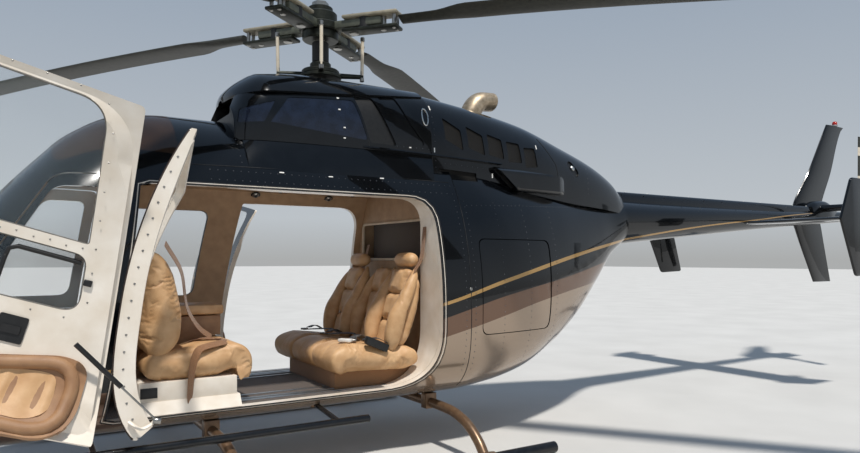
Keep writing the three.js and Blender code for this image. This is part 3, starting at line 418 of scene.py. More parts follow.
def band_edge(tree, station, rows):
    """The height of a colour band's edge at a station, drawn as a curve."""
    curve = add_node(tree, "ShaderNodeFloatCurve", links={"Value": station})
    line = curve.mapping.curves[0]
    spots = [((x - BAND_START) / BAND_LENGTH, (z - BAND_FOOT) / BAND_HEIGHT) for x, z in rows]
    line.points[0].location = spots[0]
    line.points[1].location = spots[-1]
    for spot in spots[1:-1]:
        line.points.new(*spot)
    curve.mapping.update()
    return curve.outputs["Value"]


LACQUER = {"Specular_IOR_Level": 0.12, "Coat_Weight": 0.7, "Coat_Roughness": 0.03}


def band_paint():
    """Two-pack aircraft enamel under clear lacquer: gloss black over gold, rose and sand pearl bands."""
    made, tree, shader = surface("pearl_enamel", "0B0D11", 0.2, **LACQUER)
    spot = add_node(tree, "ShaderNodeAttribute", attribute_name="station")
    parts = add_node(tree, "ShaderNodeSeparateXYZ", links={"Vector": spot.outputs["Vector"]})
    along = add_node(tree, "ShaderNodeMapRange",
                     {"From Min": BAND_START, "From Max": BAND_START + BAND_LENGTH},
                     {"Value": parts.outputs["X"]}).outputs["Result"]
    up = add_node(tree, "ShaderNodeMapRange", {"From Min": BAND_FOOT, "From Max": BAND_FOOT + BAND_HEIGHT},
                  {"Value": parts.outputs["Z"]}).outputs["Result"]
    flake = noise(tree, millimetres(tree, 3), 2.0)
    black, pearl = ("050608", "090B0E"), 0.55
    shades = [("9C8875", "AE9A86"), ("684E3E", "785C49"), black, ("B08A54", "C39C63"), black]
    colour = metal = None
    for (low, high), rows in zip(shades, (None, ROSE_LOW, ROSE_TOP, GOLD_LOW, GOLD_TOP)):
        tint = add_node(tree, "ShaderNodeMix", {6: to_linear(low), 7: to_linear(high)},
                        {0: flake}, data_type="RGBA").outputs[2]
        if rows is None:
            colour = tint
            continue
        above = add_node(tree, "ShaderNodeMath", links={0: up, 1: band_edge(tree, along, rows)},
                         operation="GREATER_THAN").outputs["Value"]
        colour = add_node(tree, "ShaderNodeMix", links={0: above, 6: colour, 7: tint},
                          data_type="RGBA").outputs[2]
        shine = 0.0 if low == black[0] else pearl
        step = add_node(tree, "ShaderNodeMix", {2: pearl, 3: shine}, {0: above}, data_type="FLOAT")
        if metal is not None:
            tree.links.new(metal, step.inputs[2])
        metal = step.outputs[0]
    tree.links.new(colour, shader.inputs["Base Color"])
    tree.links.new(metal, shader.inputs["Metallic"])
    vary_roughness(tree, shader, millimetres(tree, 160), 0.1, 0.24)
    return made


def black_enamel():
    """Gloss black lacquer on sheet metal and laminate, with the faint waviness of hand-rubbed paint."""
    made, tree, shader = surface("black_enamel", "06070A", 0.2, **LACQUER)
    vary_colour(tree, shader, millimetres(tree, 90), "050608", "0A0C0F")
    vary_roughness(tree, shader, millimetres(tree, 140), 0.08, 0.22)
    bump(tree, shader, noise(tree, millimetres(tree, 260), 1.0), 0.004, 0.25)
    return made


def cream_enamel():
    """Semi-gloss cream paint over primed metal, smudged where hands reach it."""
    made, tree, shader = surface("cream_enamel", "E8DFD1", 0.32, 0.0, Coat_Weight=0.25, Coat_Roughness=0.12)
    vary_colour(tree, shader, millimetres(tree, 120), "DDD1C0", "EDE5D9", 5)
    vary_roughness(tree, shader, millimetres(tree, 45), 0.26, 0.42)
    bump(tree, shader, noise(tree, millimetres(tree, 3), 2.0), 0.0002, 0.5)
    return made


def grained(name, low, high, roughness, grain, depth):
    """Hide or moulded skin: irregular cells with creases between them, over slow shade changes."""
    made, tree, shader = surface(name, high, roughness)
    vary_colour(tree, shader, millimetres(tree, 70), low, high, 5)
    cells = add_node(tree, "ShaderNodeTexVoronoi", {"Scale": 1.0, "Randomness": 1.0},
                     {"Vector": millimetres(tree, grain)}, feature="DISTANCE_TO_EDGE")
    height = add_node(tree, "ShaderNodeMath", {1: 1.6}, {0: noise(tree, millimetres(tree, 55), 6.0),
                                                          2: cells.outputs["Distance"]},
                      operation="MULTIPLY_ADD")
    bump(tree, shader, height.outputs["Value"], depth, 0.8)
    vary_roughness(tree, shader, millimetres(tree, 40), roughness - 0.08, roughness + 0.1)
    return made


def pile(name, low, high, tuft):
    """Cut pile: short tufts that scatter light softly."""
    made, tree, shader = surface(name, high, 0.95, 0.0, Sheen_Weight=0.4)
    vary_colour(tree, shader, millimetres(tree, tuft), low, high, 3, 0.35, 0.65)
    tufts = add_node(tree, "ShaderNodeTexVoronoi", {"Scale": 1.0}, {"Vector": millimetres(tree, tuft)})
    bump(tree, shader, tufts.outputs["Distance"], 0.002)
    return made


def woven(name, low, high):
    """Belt webbing: ribs of polyester yarn 1.5 mm apart, drawn at 3 mm so that they show."""
    made, tree, shader = surface(name, high, 0.7, 0.0, Sheen_Weight=0.3)
    ribs = add_node(tree, "ShaderNodeTexWave", {"Scale": 0.5, "Distortion": 0.3},
                    {"Vector": millimetres(tree, 3)},
                    bands_direction="DIAGONAL")
    tint = add_node(tree, "ShaderNodeMix", {6: to_linear(low), 7: to_linear(high)},
                    {0: ribs.outputs["Fac"]}, data_type="RGBA")
    tree.links.new(tint.outputs[2], shader.inputs["Base Color"])
    bump(tree, shader, ribs.outputs["Fac"], 0.0006)
    return made


def metal(name, low, high, roughness, scratch=(1, 1, 1), metallic=1.0, spread=0.12):
    """A metal or metallic finish with scratches that run one way where it was brushed."""
    made, tree, shader = surface(name, high, roughness, metallic)
    vary_colour(tree, shader, millimetres(tree, 35), low, high, 4)
    vary_roughness(tree, shader, millimetres(tree, 2.5, scratch), roughness - spread / 2,
                   roughness + spread)
    return made


def plain_rubber(name="epdm_rubber", low="0B0B0C", high="161617", roughness=0.6):
    """Extruded rubber or moulded plastic: matt, mottled, with a fine skin."""
    made, tree, shader = surface(name, high, roughness)
    vary_colour(tree, shader, millimetres(tree, 20), low, high)
    bump(tree, shader, noise(tree, millimetres(tree, 1.5), 2.0), 0.0002, 0.6)
    return made


def glazing(name, low, high, alpha):
    """Stretched acrylic sheet: glass-smooth, with faint wipe marks in its gloss."""
    made, tree, shader = surface(name, high, 0.03, 0.0, Alpha=alpha, IOR=1.49)
    vary_colour(tree, shader, millimetres(tree, 300), low, high)
    vary_roughness(tree, shader, millimetres(tree, 220), 0.01, 0.06)
    made.surface_render_method = "BLENDED"
    return made


def wire_mesh():
    """Woven stainless screen, 3 mm pitch in the real one and drawn at 9 mm so that it shows."""
    made, tree, shader = surface("wire_screen", "3A3630", 0.5, 0.6)
    place = add_node(tree, "ShaderNodeMapping", {"Rotation": (0, math.radians(45), 0)},
                     {"Vector": millimetres(tree, 9)})
    parts = add_node(tree, "ShaderNodeSeparateXYZ", links={"Vector": place.outputs["Vector"]})
    waves = []
    for axis in ("X", "Z"):
        turn = add_node(tree, "ShaderNodeMath", {1: 2 * math.pi}, {0: parts.outputs[axis]},
                        operation="MULTIPLY")
        waves.append(add_node(tree, "ShaderNodeMath", links={0: turn.outputs["Value"]},
                              operation="SINE").outputs["Value"])
    top = add_node(tree, "ShaderNodeMath", links={0: waves[0], 1: waves[1]}, operation="MAXIMUM")
    wire = ramped(tree, top.outputs["Value"], (0.55, "040404"), (0.8, "221F1B"))
    tree.links.new(wire, shader.inputs["Base Color"])
    bump(tree, shader, top.outputs["Value"], 0.002)
    return made


PAINT = band_paint()
BLACK = black_enamel()
CREAM = cream_enamel()
LEATHER = grained("tan_cowhide", "BD9265", "D3AC80", 0.46, 2.6, 0.0009)
LEATHER_SHADE = grained("saddle_cowhide", "8E6849", "A57E5A", 0.5, 2.6, 0.0009)
LINING = grained("tan_trim_vinyl", "A88A6C", "B99A7A", 0.6, 2.2, 0.0004)
CARPET = pile("wool_carpet", "3F342C", "5A4B3F", 4.0)
CLEAR = glazing("clear_acrylic", "9FB0B4", "B4C2C5", 0.06)
TINTED = glazing("bronze_acrylic", "2A1F18", "3A2B22", 0.86)
SMOKED = glazing("smoked_acrylic", "14110E", "1E1915", 0.45)
RUBBER = plain_rubber()
PLASTIC = plain_rubber("black_abs", "0C0C0D", "181818", 0.42)
MESH = wire_mesh()
CHROME = metal("chromed_brass", "B9B6B0", "D8D5CE", 0.12, spread=0.06)
STEEL = metal("stainless_steel", "8C8A86", "A9A7A2", 0.28)
ALUMINIUM = metal("anodised_aluminium", "A9ABAC", "C2C4C4", 0.34, (12, 1, 1))
BRONZE = metal("bronze_pearl_paint", "6E5642", "836A53", 0.3, metallic=0.55)
EXHAUST = metal("heat_tinted_steel", "94836C", "C0AF97", 0.42, metallic=0.7)
HUB = metal("dark_anodised_alloy", "1B1D19", "34372F", 0.42, metallic=0.6)
YOKE = metal("sand_grey_paint", "8D8573", "A29A86", 0.5, metallic=0.1)
CUFF = metal("grey_green_paint", "4A4C42", "5D6053", 0.5, metallic=0.1)
BLADE = metal("olive_blade_paint", "23231E", "35352D", 0.5, (1, 1, 1), 0.05)
LINK = metal("cream_link_paint", "CFC2AC", "DDD2BF", 0.4, metallic=0.0)
GLOSS_TUBE = metal("black_powder_coat", "0B0C0E", "17191C", 0.18, metallic=0.0)
TAN_BELT = woven("tan_webbing", "7B5433", "9A6E48")
BLACK_BELT = woven("black_webbing", "0A0A0A", "1C1C1C")
LENS = metal("red_lens", "8E1711", "B0231A", 0.1, metallic=0.0)


# Builders

def loft(rings, closed=True, caps=True):
    """Points and faces through rings of equal length; caps come last."""
    size = len(rings[0])
    points = [point for ring in rings for point in ring]
    faces = []
    for row in range(len(rings) - 1):
        for i in range(size if closed else size - 1):
            a, b = row * size + i, row * size + (i + 1) % size
            faces.append((a, b, b + size, a + size))
    if caps:
        faces.append(tuple(range(size - 1, -1, -1)))
        faces.append(tuple(range((len(rings) - 1) * size, len(rings) * size)))
    return points, faces


def loose(mesh, name="shape"):
    made = bpy.data.objects.new(name, mesh)
    bpy.context.scene.collection.objects.link(made)
    return made


def shape(points, faces, materials, cap_index=0):
    """A loose object in stations, its faces pointing out; its two ends take the material cap_index."""
    mesh = bpy.data.meshes.new("shape")
    mesh.from_pydata([tuple(p) for p in points], [], faces)
    for each in materials:
        mesh.materials.append(each)
    for polygon in list(mesh.polygons)[-2:]:
        polygon.material_index = cap_index
    work = bmesh.new()
    work.from_mesh(mesh)
    bmesh.ops.recalc_face_normals(work, faces=work.faces)
    work.to_mesh(mesh)
    work.free()
    return loose(mesh)


def lofted(rings, material):
    return shape(*loft(rings), [material])


def prism(outline, low, high, materials, plane="xz"):
    """An outline drawn in a plane, pushed from low to high."""
    spots = {"xz": lambda p, d: (p[0], d, p[1]), "yz": lambda p, d: (d, p[0], p[1]),
             "xy": lambda p, d: (p[0], p[1], d)}
    rings = [[Vector(spots[plane](p, depth)) for p in outline] for depth in (low, high)]
    return shape(*loft(rings), materials)


def evaluated(made):
    """The mesh of an object with its modifiers, as new data."""
    graph = bpy.context.evaluated_depsgraph_get()
    return bpy.data.meshes.new_from_object(made.evaluated_get(graph))


def carve(target, *cuts):
    """The target's mesh after each (operation, cutter) in turn. The loose objects go."""
    for operation, cutter in cuts:
        step = target.modifiers.new("cut", "BOOLEAN")
        step.operation = operation
        step.solver = "MANIFOLD"
        step.material_mode = "TRANSFER"
        step.object = cutter
    result = evaluated(target)
    for each in [target] + [cutter for _, cutter in cuts]:
        bpy.data.objects.remove(each)
    return result


def hull_level(point):
    """1 on the body's skin, less inside it."""
    belly, roof, half, widest, power = hull_at(point.x)
    up = point.z > widest
    share = (point.z - widest) / (roof - widest) if up else (widest - point.z) / (widest - belly)
    round_ = power if up else belly_roundness(point.x)
    return (abs(point.y) / half) ** round_ + max(0.0, share) ** round_


def arch_level(table):
    def level(point):
        base, top, half, power = table(point.x)
        return (abs(point.y) / half) ** power + max(0.0, (point.z - base) / (top - base)) ** power
    return level


def boom_level(point):
    bottom, top, half = boom_at(point.x)
    return (point.y / half) ** 2 + ((2 * point.z - top - bottom) / (top - bottom)) ** 2


def slope_of(level, point):
    """The direction in which a level rises fastest, which is the true normal of a smooth skin."""
    tiny = 2e-4
    axes = vectors((tiny, 0, 0), (0, tiny, 0), (0, 0, tiny))
    rise = Vector([level(point + axis) - level(point - axis) for axis in axes])
    return rise.normalized() if rise.length > 1e-9 else None


NEAR_SKIN = 0.06


def polish(mesh, level, angle):
    """Smooth shading whose normals follow the exact skin, so that gloss shows no facets."""
    mesh.shade_smooth()
    mesh.set_sharp_from_angle(angle=math.radians(angle))
    if level is None:
        return
    normals = [Vector(corner.vector) for corner in mesh.corner_normals]
    known = {}
    for polygon in mesh.polygons:
        if polygon.material_index:
            continue
        for corner in polygon.loop_indices:
            spot = mesh.loops[corner].vertex_index
            if spot not in known:
                at = mesh.vertices[spot].co
                known[spot] = slope_of(level, at) if abs(level(at) - 1) < NEAR_SKIN else None
            if known[spot] and known[spot].dot(polygon.normal) > 0.7:
                normals[corner] = known[spot]
    mesh.normals_split_custom_set([tuple(n) for n in normals])


def place(name, mesh, body="airframe", slot=None, replaces=(), level=None, angle=32, rest=None):
    """Names a mesh, keeps its shut station, moves it to where it stands and lets it ride."""
    mesh.name = name
    mesh.validate()
    polish(mesh, level, angle)
    spots = mesh.attributes.get("station") or mesh.attributes.new("station", "FLOAT_VECTOR", "POINT")
    spots.data.foreach_set("vector", [c for v in mesh.vertices for c in v.co])
    where = rest if rest is not None else REST.get(body, Matrix())
    mesh.transform(Matrix.Translation((SHIFT, 0, 0)) @ where)
    made = loose(mesh, name)
    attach(made, body)
    if replaces:
        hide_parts(*replaces)
    return made


def merged(objects):
    """One mesh from several loose objects, which go."""
    work = bmesh.new()
    materials = []
    for each in objects:
        numbers = []
        for material in each.data.materials:
            if material not in materials:
                materials.append(material)
            numbers.append(materials.index(material))
        before = len(work.faces)
        work.from_mesh(each.data)
        work.faces.ensure_lookup_table()
        for face in list(work.faces)[before:]:
            face.material_index = numbers[face.material_index] if numbers else 0
    mesh = bpy.data.meshes.new("merged")
    work.to_mesh(mesh)
    work.free()
    for material in materials:
        mesh.materials.append(material)
    for each in objects:
        bpy.data.objects.remove(each)
    return mesh


def rod(start, end, radius, material, sides=20, end_radius=None, bevel=0.0):
    """A round bar with softened ends."""
    start, end = Vector(start), Vector(end)
    along = (end - start).normalized()
    side = along.orthogonal().normalized()
    across = along.cross(side)
    last = radius if end_radius is None else end_radius
    length = (end - start).length
    rows = [(0, radius), (length, last)]
    if bevel:
        rows = [(0, radius - bevel), (bevel, radius), (length - bevel, last), (length, last - bevel)]
    rings = [[start + along * d + (side * math.cos(a) + across * math.sin(a)) * r
              for a in round_angles(sides)] for d, r in rows]
    return lofted(rings, material)


def upright(at, low, high, radius, material, sides=20, bevel=0.0):
    """A round bar that stands at (x, y) from low to high."""
    return rod((at[0], at[1], low), (at[0], at[1], high), radius, material, sides, bevel=bevel)


def turned_tube(path, radius, material, sides=12, closed=False, flat=1.0):
    """A tube along points; flat squeezes it towards its path's side."""
    points = [Vector(p) for p in path]
    count = len(points)
    up = None
    rings = []
    for i, point in enumerate(points):
        before = points[i - 1] if i or closed else points[0]
        after = points[(i + 1) % count] if i + 1 < count or closed else points[-1]
        along = (after - before).normalized()
        side = along.orthogonal().normalized() if up is None else (up - along * up.dot(along)).normalized()
        up = side
        across = along.cross(side)
        rings.append([point + (side * math.cos(a) * flat + across * math.sin(a)) * radius
                      for a in round_angles(sides)])
    if closed:
        rings.append(rings[0])
    return shape(*loft(rings, caps=not closed), [material])


def ribbon(points, width, thickness, material, facing):
    """A flat strap along points; facing is the direction its broad side faces."""
    rings = []
    for i, point in enumerate(points):
        along = (points[min(i + 1, len(points) - 1)] - points[max(i - 1, 0)]).normalized()
        side = along.cross(Vector(facing)).normalized() * width / 2
        out = side.cross(along).normalized() * thickness / 2
        rings.append([point + side + out, point - side + out, point - side - out, point + side - out])
    return lofted(rings, material)


def bezier(points, count=24):
    """A smooth curve through points."""
    xs = [0.0]
    for a, b in zip(points, points[1:]):
        xs.append(xs[-1] + (Vector(b) - Vector(a)).length)
    curve = smooth_table([(x, *p) for x, p in zip(xs, points)])
    return [Vector(curve(t)) for t in steps(0, xs[-1], count)]


def softened(outline, low, high, material, plane="xz", width=0.004, segments=2):
    """A prism with rounded edges."""
    made = prism(outline, low, high, [material], plane)
    step = made.modifiers.new("edges", "BEVEL")
    step.width = width
    step.segments = segments
    step.limit_method = "ANGLE"
    step.angle_limit = math.radians(40)
    mesh = evaluated(made)
    bpy.data.objects.remove(made)
    return loose(mesh)


def corners_of(x0, x1, z0, z1):
    return vectors((x0, z0), (x1, z0), (x1, z1), (x0, z1))


def block(x0, x1, y0, y1, z0, z1, material, width=0.004, segments=2):
    """A box with softened edges."""
    return softened(corners_of(x0, x1, z0, z1), y0, y1, material, width=width, segments=segments)


# Rivets and fasteners, laid by Geometry Nodes along lines on the skin

def spread_tree(material, height, sides=8):
    """Puts a low domed head at even spaces along every line, facing as the line's points say."""
    tree = bpy.data.node_groups.new("even_heads", "GeometryNodeTree")
    tree.interface.new_socket("Lines", in_out="INPUT", socket_type="NodeSocketGeometry")
    spacing = tree.interface.new_socket("Spacing", in_out="INPUT", socket_type="NodeSocketFloat")
    size = tree.interface.new_socket("Head radius", in_out="INPUT", socket_type="NodeSocketFloat")
    tree.interface.new_socket("Heads", in_out="OUTPUT", socket_type="NodeSocketGeometry")
    start = add_node(tree, "NodeGroupInput")
    line = add_node(tree, "GeometryNodeMeshToCurve", links={"Mesh": start.outputs["Lines"]})
    even = add_node(tree, "GeometryNodeResampleCurve", mode="LENGTH",
                    links={"Curve": line.outputs["Curve"], "Length": start.outputs["Spacing"]})
    head = add_node(tree, "GeometryNodeMeshCone",
                    {"Vertices": sides, "Radius Top": 0.55, "Radius Bottom": 1.0, "Depth": height})
    facing = add_node(tree, "GeometryNodeInputNamedAttribute", {"Name": "facing"}, data_type="FLOAT_VECTOR")
    turn = add_node(tree, "FunctionNodeAlignRotationToVector",
                    links={"Vector": facing.outputs["Attribute"]}, axis="Z")
    copies = add_node(tree, "GeometryNodeInstanceOnPoints", links={
        "Points": even.outputs["Curve"], "Instance": head.outputs["Mesh"],
        "Rotation": turn.outputs["Rotation"], "Scale": start.outputs["Head radius"]})
    real = add_node(tree, "GeometryNodeRealizeInstances", links={"Geometry": copies.outputs["Instances"]})
    finish = add_node(tree, "GeometryNodeSetMaterial", {"Material": material},
                      {"Geometry": real.outputs["Geometry"]})
    end = add_node(tree, "NodeGroupOutput")
    tree.links.new(finish.outputs["Geometry"], end.inputs["Heads"])
    return tree, spacing.identifier, size.identifier


def heads(name, lines, spacing, radius, material, body="airframe", height=0.5):
    """lines are lists of (point, facing). Gives one mesh of heads riding on the body."""
    mesh = bpy.data.meshes.new(name)
    points = [p for line in lines for p, _ in line]
    edges = []
    first = 0
    for line in lines:
        edges += [(first + i, first + i + 1) for i in range(len(line) - 1)]
        first += len(line)
    mesh.from_pydata([tuple(p) for p in points], edges, [])
    facing = mesh.attributes.new("facing", "FLOAT_VECTOR", "POINT")
    facing.data.foreach_set("vector", [c for line in lines for _, n in line for c in n])
    source = loose(mesh)
    step = source.modifiers.new("heads", "NODES")
    tree, spacing_key, size_key = spread_tree(material, height)
    step.node_group = tree
    step[spacing_key] = spacing
    step[size_key] = radius
    result = evaluated(source)
    bpy.data.objects.remove(source)
    return place(name, result, body, angle=50)


def on_hull(x, z, side):
    """A point on the skin and the way it faces."""
    point = Vector((x, side * half_width(x, z), z))
    return point, slope_of(hull_level, point) or Vector((0, side, 0))


def on_arch(table, x, z, side):
    point = Vector((x, side * arch_half((x, *table(x)), z), z))
    return point, slope_of(arch_level(table), point) or Vector((0, side, 0))


def line_on(where, spots, count=24):
    """Points between (x, z) spots, each on the skin that where gives."""
    path = []
    for a, b in zip(spots, spots[1:]):
        path += [where(a[0] + (b[0] - a[0]) * t, a[1] + (b[1] - a[1]) * t) for t in steps(0, 1, count)[:-1]]
    return path + [where(*spots[-1])]


def seam(where, spots, radius, count=24):
    """A sealant line along a panel joint."""
    return turned_tube([p for p, _ in line_on(where, spots, count)], radius, RUBBER, 6)


# Camera, floor and light

KEY_FROM = (-0.12, -0.42, 1.0)
KEY_STRENGTH = 3.6


def set_stage():
    data = bpy.data.cameras.new("view")
    data.lens = FOCAL_LENGTH
    data.sensor_width = 36
    data.shift_y = LENS_SHIFT
    data.clip_end = 300
    camera = loose(data, "view")
    camera.location = CAMERA_PLACE
    camera.rotation_euler = CAMERA_TURN
    bpy.context.scene.camera = camera

    floor, tree, shader = surface("pale_floor", "C9C7C3", 0.8)
    vary_colour(tree, shader, millimetres(tree, 900), "C4C2BE", "CDCBC7")
    mesh = bpy.data.meshes.new("floor")
    mesh.from_pydata([(-90, -60, 0), (90, -60, 0), (90, 120, 0), (-90, 120, 0)], [], [(0, 1, 2, 3)])
    mesh.materials.append(floor)
    ground = loose(mesh, "floor")

    sky = bpy.data.worlds.new("studio")
    sky.use_nodes = True
    bpy.context.scene.world = sky
    tree = sky.node_tree
    back = tree.nodes["Background"]
    back.inputs["Strength"].default_value = 0.7
    spot = add_node(tree, "ShaderNodeTexCoord")
    parts = add_node(tree, "ShaderNodeSeparateXYZ", links={"Vector": spot.outputs["Generated"]})
    ramp = add_node(tree, "ShaderNodeValToRGB", links={"Fac": parts.outputs["Z"]})
    ramp.color_ramp.elements[0].color = to_linear("C9CBCB")
    ramp.color_ramp.elements[1].color = to_linear("93AAC6")
    ramp.color_ramp.elements[1].position = 0.55
    middle = ramp.color_ramp.elements.new(0.06)
    middle.color = to_linear("DCE3E9")
    tree.links.new(ramp.outputs["Color"], back.inputs["Color"])

    lamp = bpy.data.lights.new("key", "SUN")
    lamp.energy = KEY_STRENGTH
    lamp.angle = math.radians(4)
    lamp.color = (1.0, 0.965, 0.91)
    holder = loose(lamp, "key")
    holder.location = (SHIFT, -4, 10)
    holder.rotation_euler = Vector(KEY_FROM).to_track_quat("Z", "Y").to_euler()


set_stage()
bpy.context.scene.view_settings.view_transform = "Standard"


# Cabin shell

# Well outside the widest line of the body
BESIDE = 0.95


def side_cut(outline, side, materials):
    return prism(outline, min(0.0, side * BESIDE), max(0.0, side * BESIDE), materials)


def mirrored(corners):
    return [(-y, z, reach) for y, z, reach in corners][::-1]


WINDSHIELD = [(-0.025, 1.12, 0.02), (-0.025, 1.83, 0.02), (-0.42, 1.7, 0.06), (-0.56, 1.18, 0.06)]
WINDSHIELD_BAND = [(-2.61, 1.1), (-1.96, 1.9), (-2.4, 2.1), (-2.95, 1.3)]
CHIN = [(-0.11, 0.52, 0.06), (-0.11, 0.9, 0.06), (-0.4, 0.9, 0.09), (-0.43, 0.56, 0.09)]


def windshield_cut(flip, materials):
    front = prism(rounded(mirrored(WINDSHIELD) if flip else WINDSHIELD), -3.0, -1.9, materials, "yz")
    band = prism(WINDSHIELD_BAND, -0.7, 0.7, materials)
    return loose(carve(front, ("INTERSECT", band)))


def chin_cut(flip, materials):
    return prism(rounded(mirrored(CHIN) if flip else CHIN), -3.0, -2.5, materials, "yz")


def roof_cut(side, materials):
    corners = [(-1.9, side * 0.06, 0.04), (-1.9, side * 0.42, 0.09), (-1.26, side * 0.47, 0.04),
               (-1.26, side * 0.06, 0.04)]
    return prism(rounded(corners), 1.7, 2.3, materials, "xy")


NOSE = -3.028
NOSE_STATIONS = [NOSE, -3.024, -3.02, -3.01, -2.998, -2.985, -2.965, -2.94, -2.9, -2.86]


def hull_body(inset, start, end, materials, spacing=0.04, ceiling=False):
    stations = [x for x in NOSE_STATIONS if x >= start] if start < -2.8 else []
    first = stations[-1] + spacing if stations else start
    count = max(1, round((end - first) / spacing))
    stations += steps(first, end, count)
    rings = [hull_ring(x, inset, CEILING_Z if ceiling and x > -1.5 else None) for x in stations]
    return shape(*loft(rings), materials)


def skin_body():
    """The cabin's wall as a closed body: paint outside, trim inside."""
    outer = hull_body(0.0, NOSE, CABIN_END, [PAINT, LINING])
    cavity = hull_body(WALL, -2.9, CABIN_END + 0.06, [LINING], ceiling=True)
    return carve(outer, ("DIFFERENCE", cavity))


SKIN = skin_body()


def cabin_shell():
    cuts = []
    for side in SIDES:
        cuts += [side_cut(crew_outline(), side, [CREAM]), roof_cut(side, [BLACK])]
    cuts += [side_cut(opening_outline(LITTER_FRONT), PORT, [CREAM]),
             side_cut(opening_outline(RIGHT_FRONT), STARBOARD, [CREAM]),
             side_cut(fixed_window(), STARBOARD, [RUBBER])]
    for flip in (False, True):
        cuts += [windshield_cut(flip, [RUBBER]), chin_cut(flip, [RUBBER])]
    mesh = carve(loose(SKIN.copy()), *[("DIFFERENCE", cut) for cut in cuts])
    place("cabin_skin", mesh, slot="black_paint", replaces=["cabin_shell"], level=hull_level)


def pane(name, node, cut, material, body="airframe", depth=0.006):
    """A sheet of glazing cut from the body's own curve, at a depth under the skin."""
    outer = hull_body(depth, -3.0, CABIN_END, [material], 0.08)
    inner = hull_body(depth + 0.006, -3.0, CABIN_END + 0.05, [material], 0.08)
    mesh = carve(outer, ("DIFFERENCE", inner), ("INTERSECT", cut))

    def level(point):
        return hull_level(point + Vector((0,
                                          math.copysign(depth, point.y) if abs(point.y) > 0.1 else 0, 0)))
    slot = "tinted_glass" if material is TINTED else "clear_glass"
    place(name, mesh, body, slot, [node], level)


def panes():
    for kind, node, cut in (("windshield", "windshield", windshield_cut),
                            ("chin", "chin_window", chin_cut)):
        for name, side in NAMED_SIDES:
            pane(f"{kind}_pane_{name}", f"{node}_{name}", cut(side == STARBOARD, [SMOKED]), SMOKED)
    for name, side in NAMED_SIDES:
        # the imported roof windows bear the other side's name
        node = "roof_window_right" if name == "left" else "roof_window_left"
        pane(f"roof_pane_{name}", node, roof_cut(side, [TINTED]), TINTED, depth=0.001)
        pane(f"crew_pane_{name}", f"crew_window_{name}", side_cut(crew_window(), side, [CLEAR]),
             CLEAR, f"crew_door_{name}")
    pane("side_pane_right", "side_window_right", side_cut(fixed_window(), STARBOARD, [CLEAR]), CLEAR)
    pane("litter_pane", "litter_window", side_cut(litter_window(), PORT, [CLEAR]), CLEAR, "litter_door")
    pane("passenger_pane_left", "passenger_window_left",
         side_cut(passenger_window(DOOR_SPLIT), PORT, [CLEAR]), CLEAR,
         "passenger_door_left")
    pane("passenger_pane_right", "passenger_window_right",
         side_cut(passenger_window(RIGHT_FRONT), STARBOARD, [CLEAR]),
         CLEAR, "passenger_door_right")


cabin_shell()
panes()


# Doors

def patch(outline, where, materials, lift=0.0, depth=0.004, cell=0.03):
    """A plate laid on a skin: its outer face is lifted and its inner face sunk along the skin."""
    work = bmesh.new()
    work.faces.new([work.verts.new((p[0], 0, p[1])) for p in outline])
    low = [min(p[k] for p in outline) for k in (0, 1)]
    high = [max(p[k] for p in outline) for k in (0, 1)]
    for k, axis in ((0, (1, 0, 0)), (1, (0, 0, 1))):
        count = int((high[k] - low[k]) / cell)
        for i in range(1, count + 1):
            at = low[k] + (high[k] - low[k]) * i / (count + 1)
            bmesh.ops.bisect_plane(work, geom=work.faces[:] + work.edges[:] + work.verts[:],
                                   plane_co=(at if k == 0 else 0, 0, at if k == 1 else 0), plane_no=axis)
    bmesh.ops.triangulate(work, faces=[f for f in work.faces if len(f.verts) > 4])
    flat = bpy.data.meshes.new("flat")
    work.to_mesh(flat)
    work.free()
    spots = [(v.co.x, v.co.z) for v in flat.vertices]
    faces = [tuple(p.vertices) for p in flat.polygons]
    bpy.data.meshes.remove(flat)
    tops = []
    bottoms = []
    for x, z in spots:
        point, facing = where(x, z)
        rise = lift(x, z) if callable(lift) else lift
        tops.append(point + facing * rise)
        bottoms.append(point - facing * depth)
    size = len(spots)
    sides = {}
    for f in faces:
        for a, b in zip(f, f[1:] + f[:1]):
            sides[(a, b)] = True
    rim = [(a, b) for a, b in sides if (b, a) not in sides]
    made = shape(tops + bottoms, faces + [tuple(size + v for v in reversed(f)) for f in faces]
                 + [(b, a, a + size, b + size) for a, b in rim], materials)
    if len(materials) > 1:
        for polygon in list(made.data.polygons)[len(faces):2 * len(faces)]:
            polygon.material_index = 1
    return made


def on_side(side, inset=0.0):
    """Where a point in side view lies on the skin, or on a surface inset from it and facing inward."""
    def where(x, z):
        if not inset:
            return on_hull(x, z, side)
        point = Vector((x, side * half_width(x, z, inset), z))
        return point, -(slope_of(hull_level,
                                 Vector((x, side * half_width(x, z), z))) or Vector((0, side, 0)))
    return where


def on_table(table, side):
    return lambda x, z: on_arch(table, x, z, side)


def hollow_skin(depth, inner):
    """The cabin's skin as a shell of a given thickness."""
    outer = hull_body(0.0, NOSE, CABIN_END, [PAINT, inner])
    return loose(carve(outer, ("DIFFERENCE", hull_body(depth, -2.9, CABIN_END + 0.06, [inner]))))


def drafted(outer, inner, side, shallow, deep, materials):
    """A cutter whose walls slope between two depths under the skin."""
    rings = [[Vector((p.x, side * BESIDE, p.y)) for p in outer],
             [Vector((p.x, side * half_width(p.x, p.y, shallow), p.y)) for p in outer],
             [Vector((p.x, side * half_width(p.x, p.y, deep), p.y)) for p in inner],
             [Vector((p.x, side * 0.2, p.y)) for p in inner]]
    return shape(*loft(rings), materials)


DOOR_SHEET = 0.014
# How far a cutter laid on a skin stands out of it
PROUD = 0.03
# The slanted foot of each cabin door: where it starts and ends across, and how high it rises
FOOT_OUT, FOOT_IN, FOOT_RISE, FOOT_LOW = 0.6, 0.466, 0.147, 0.4


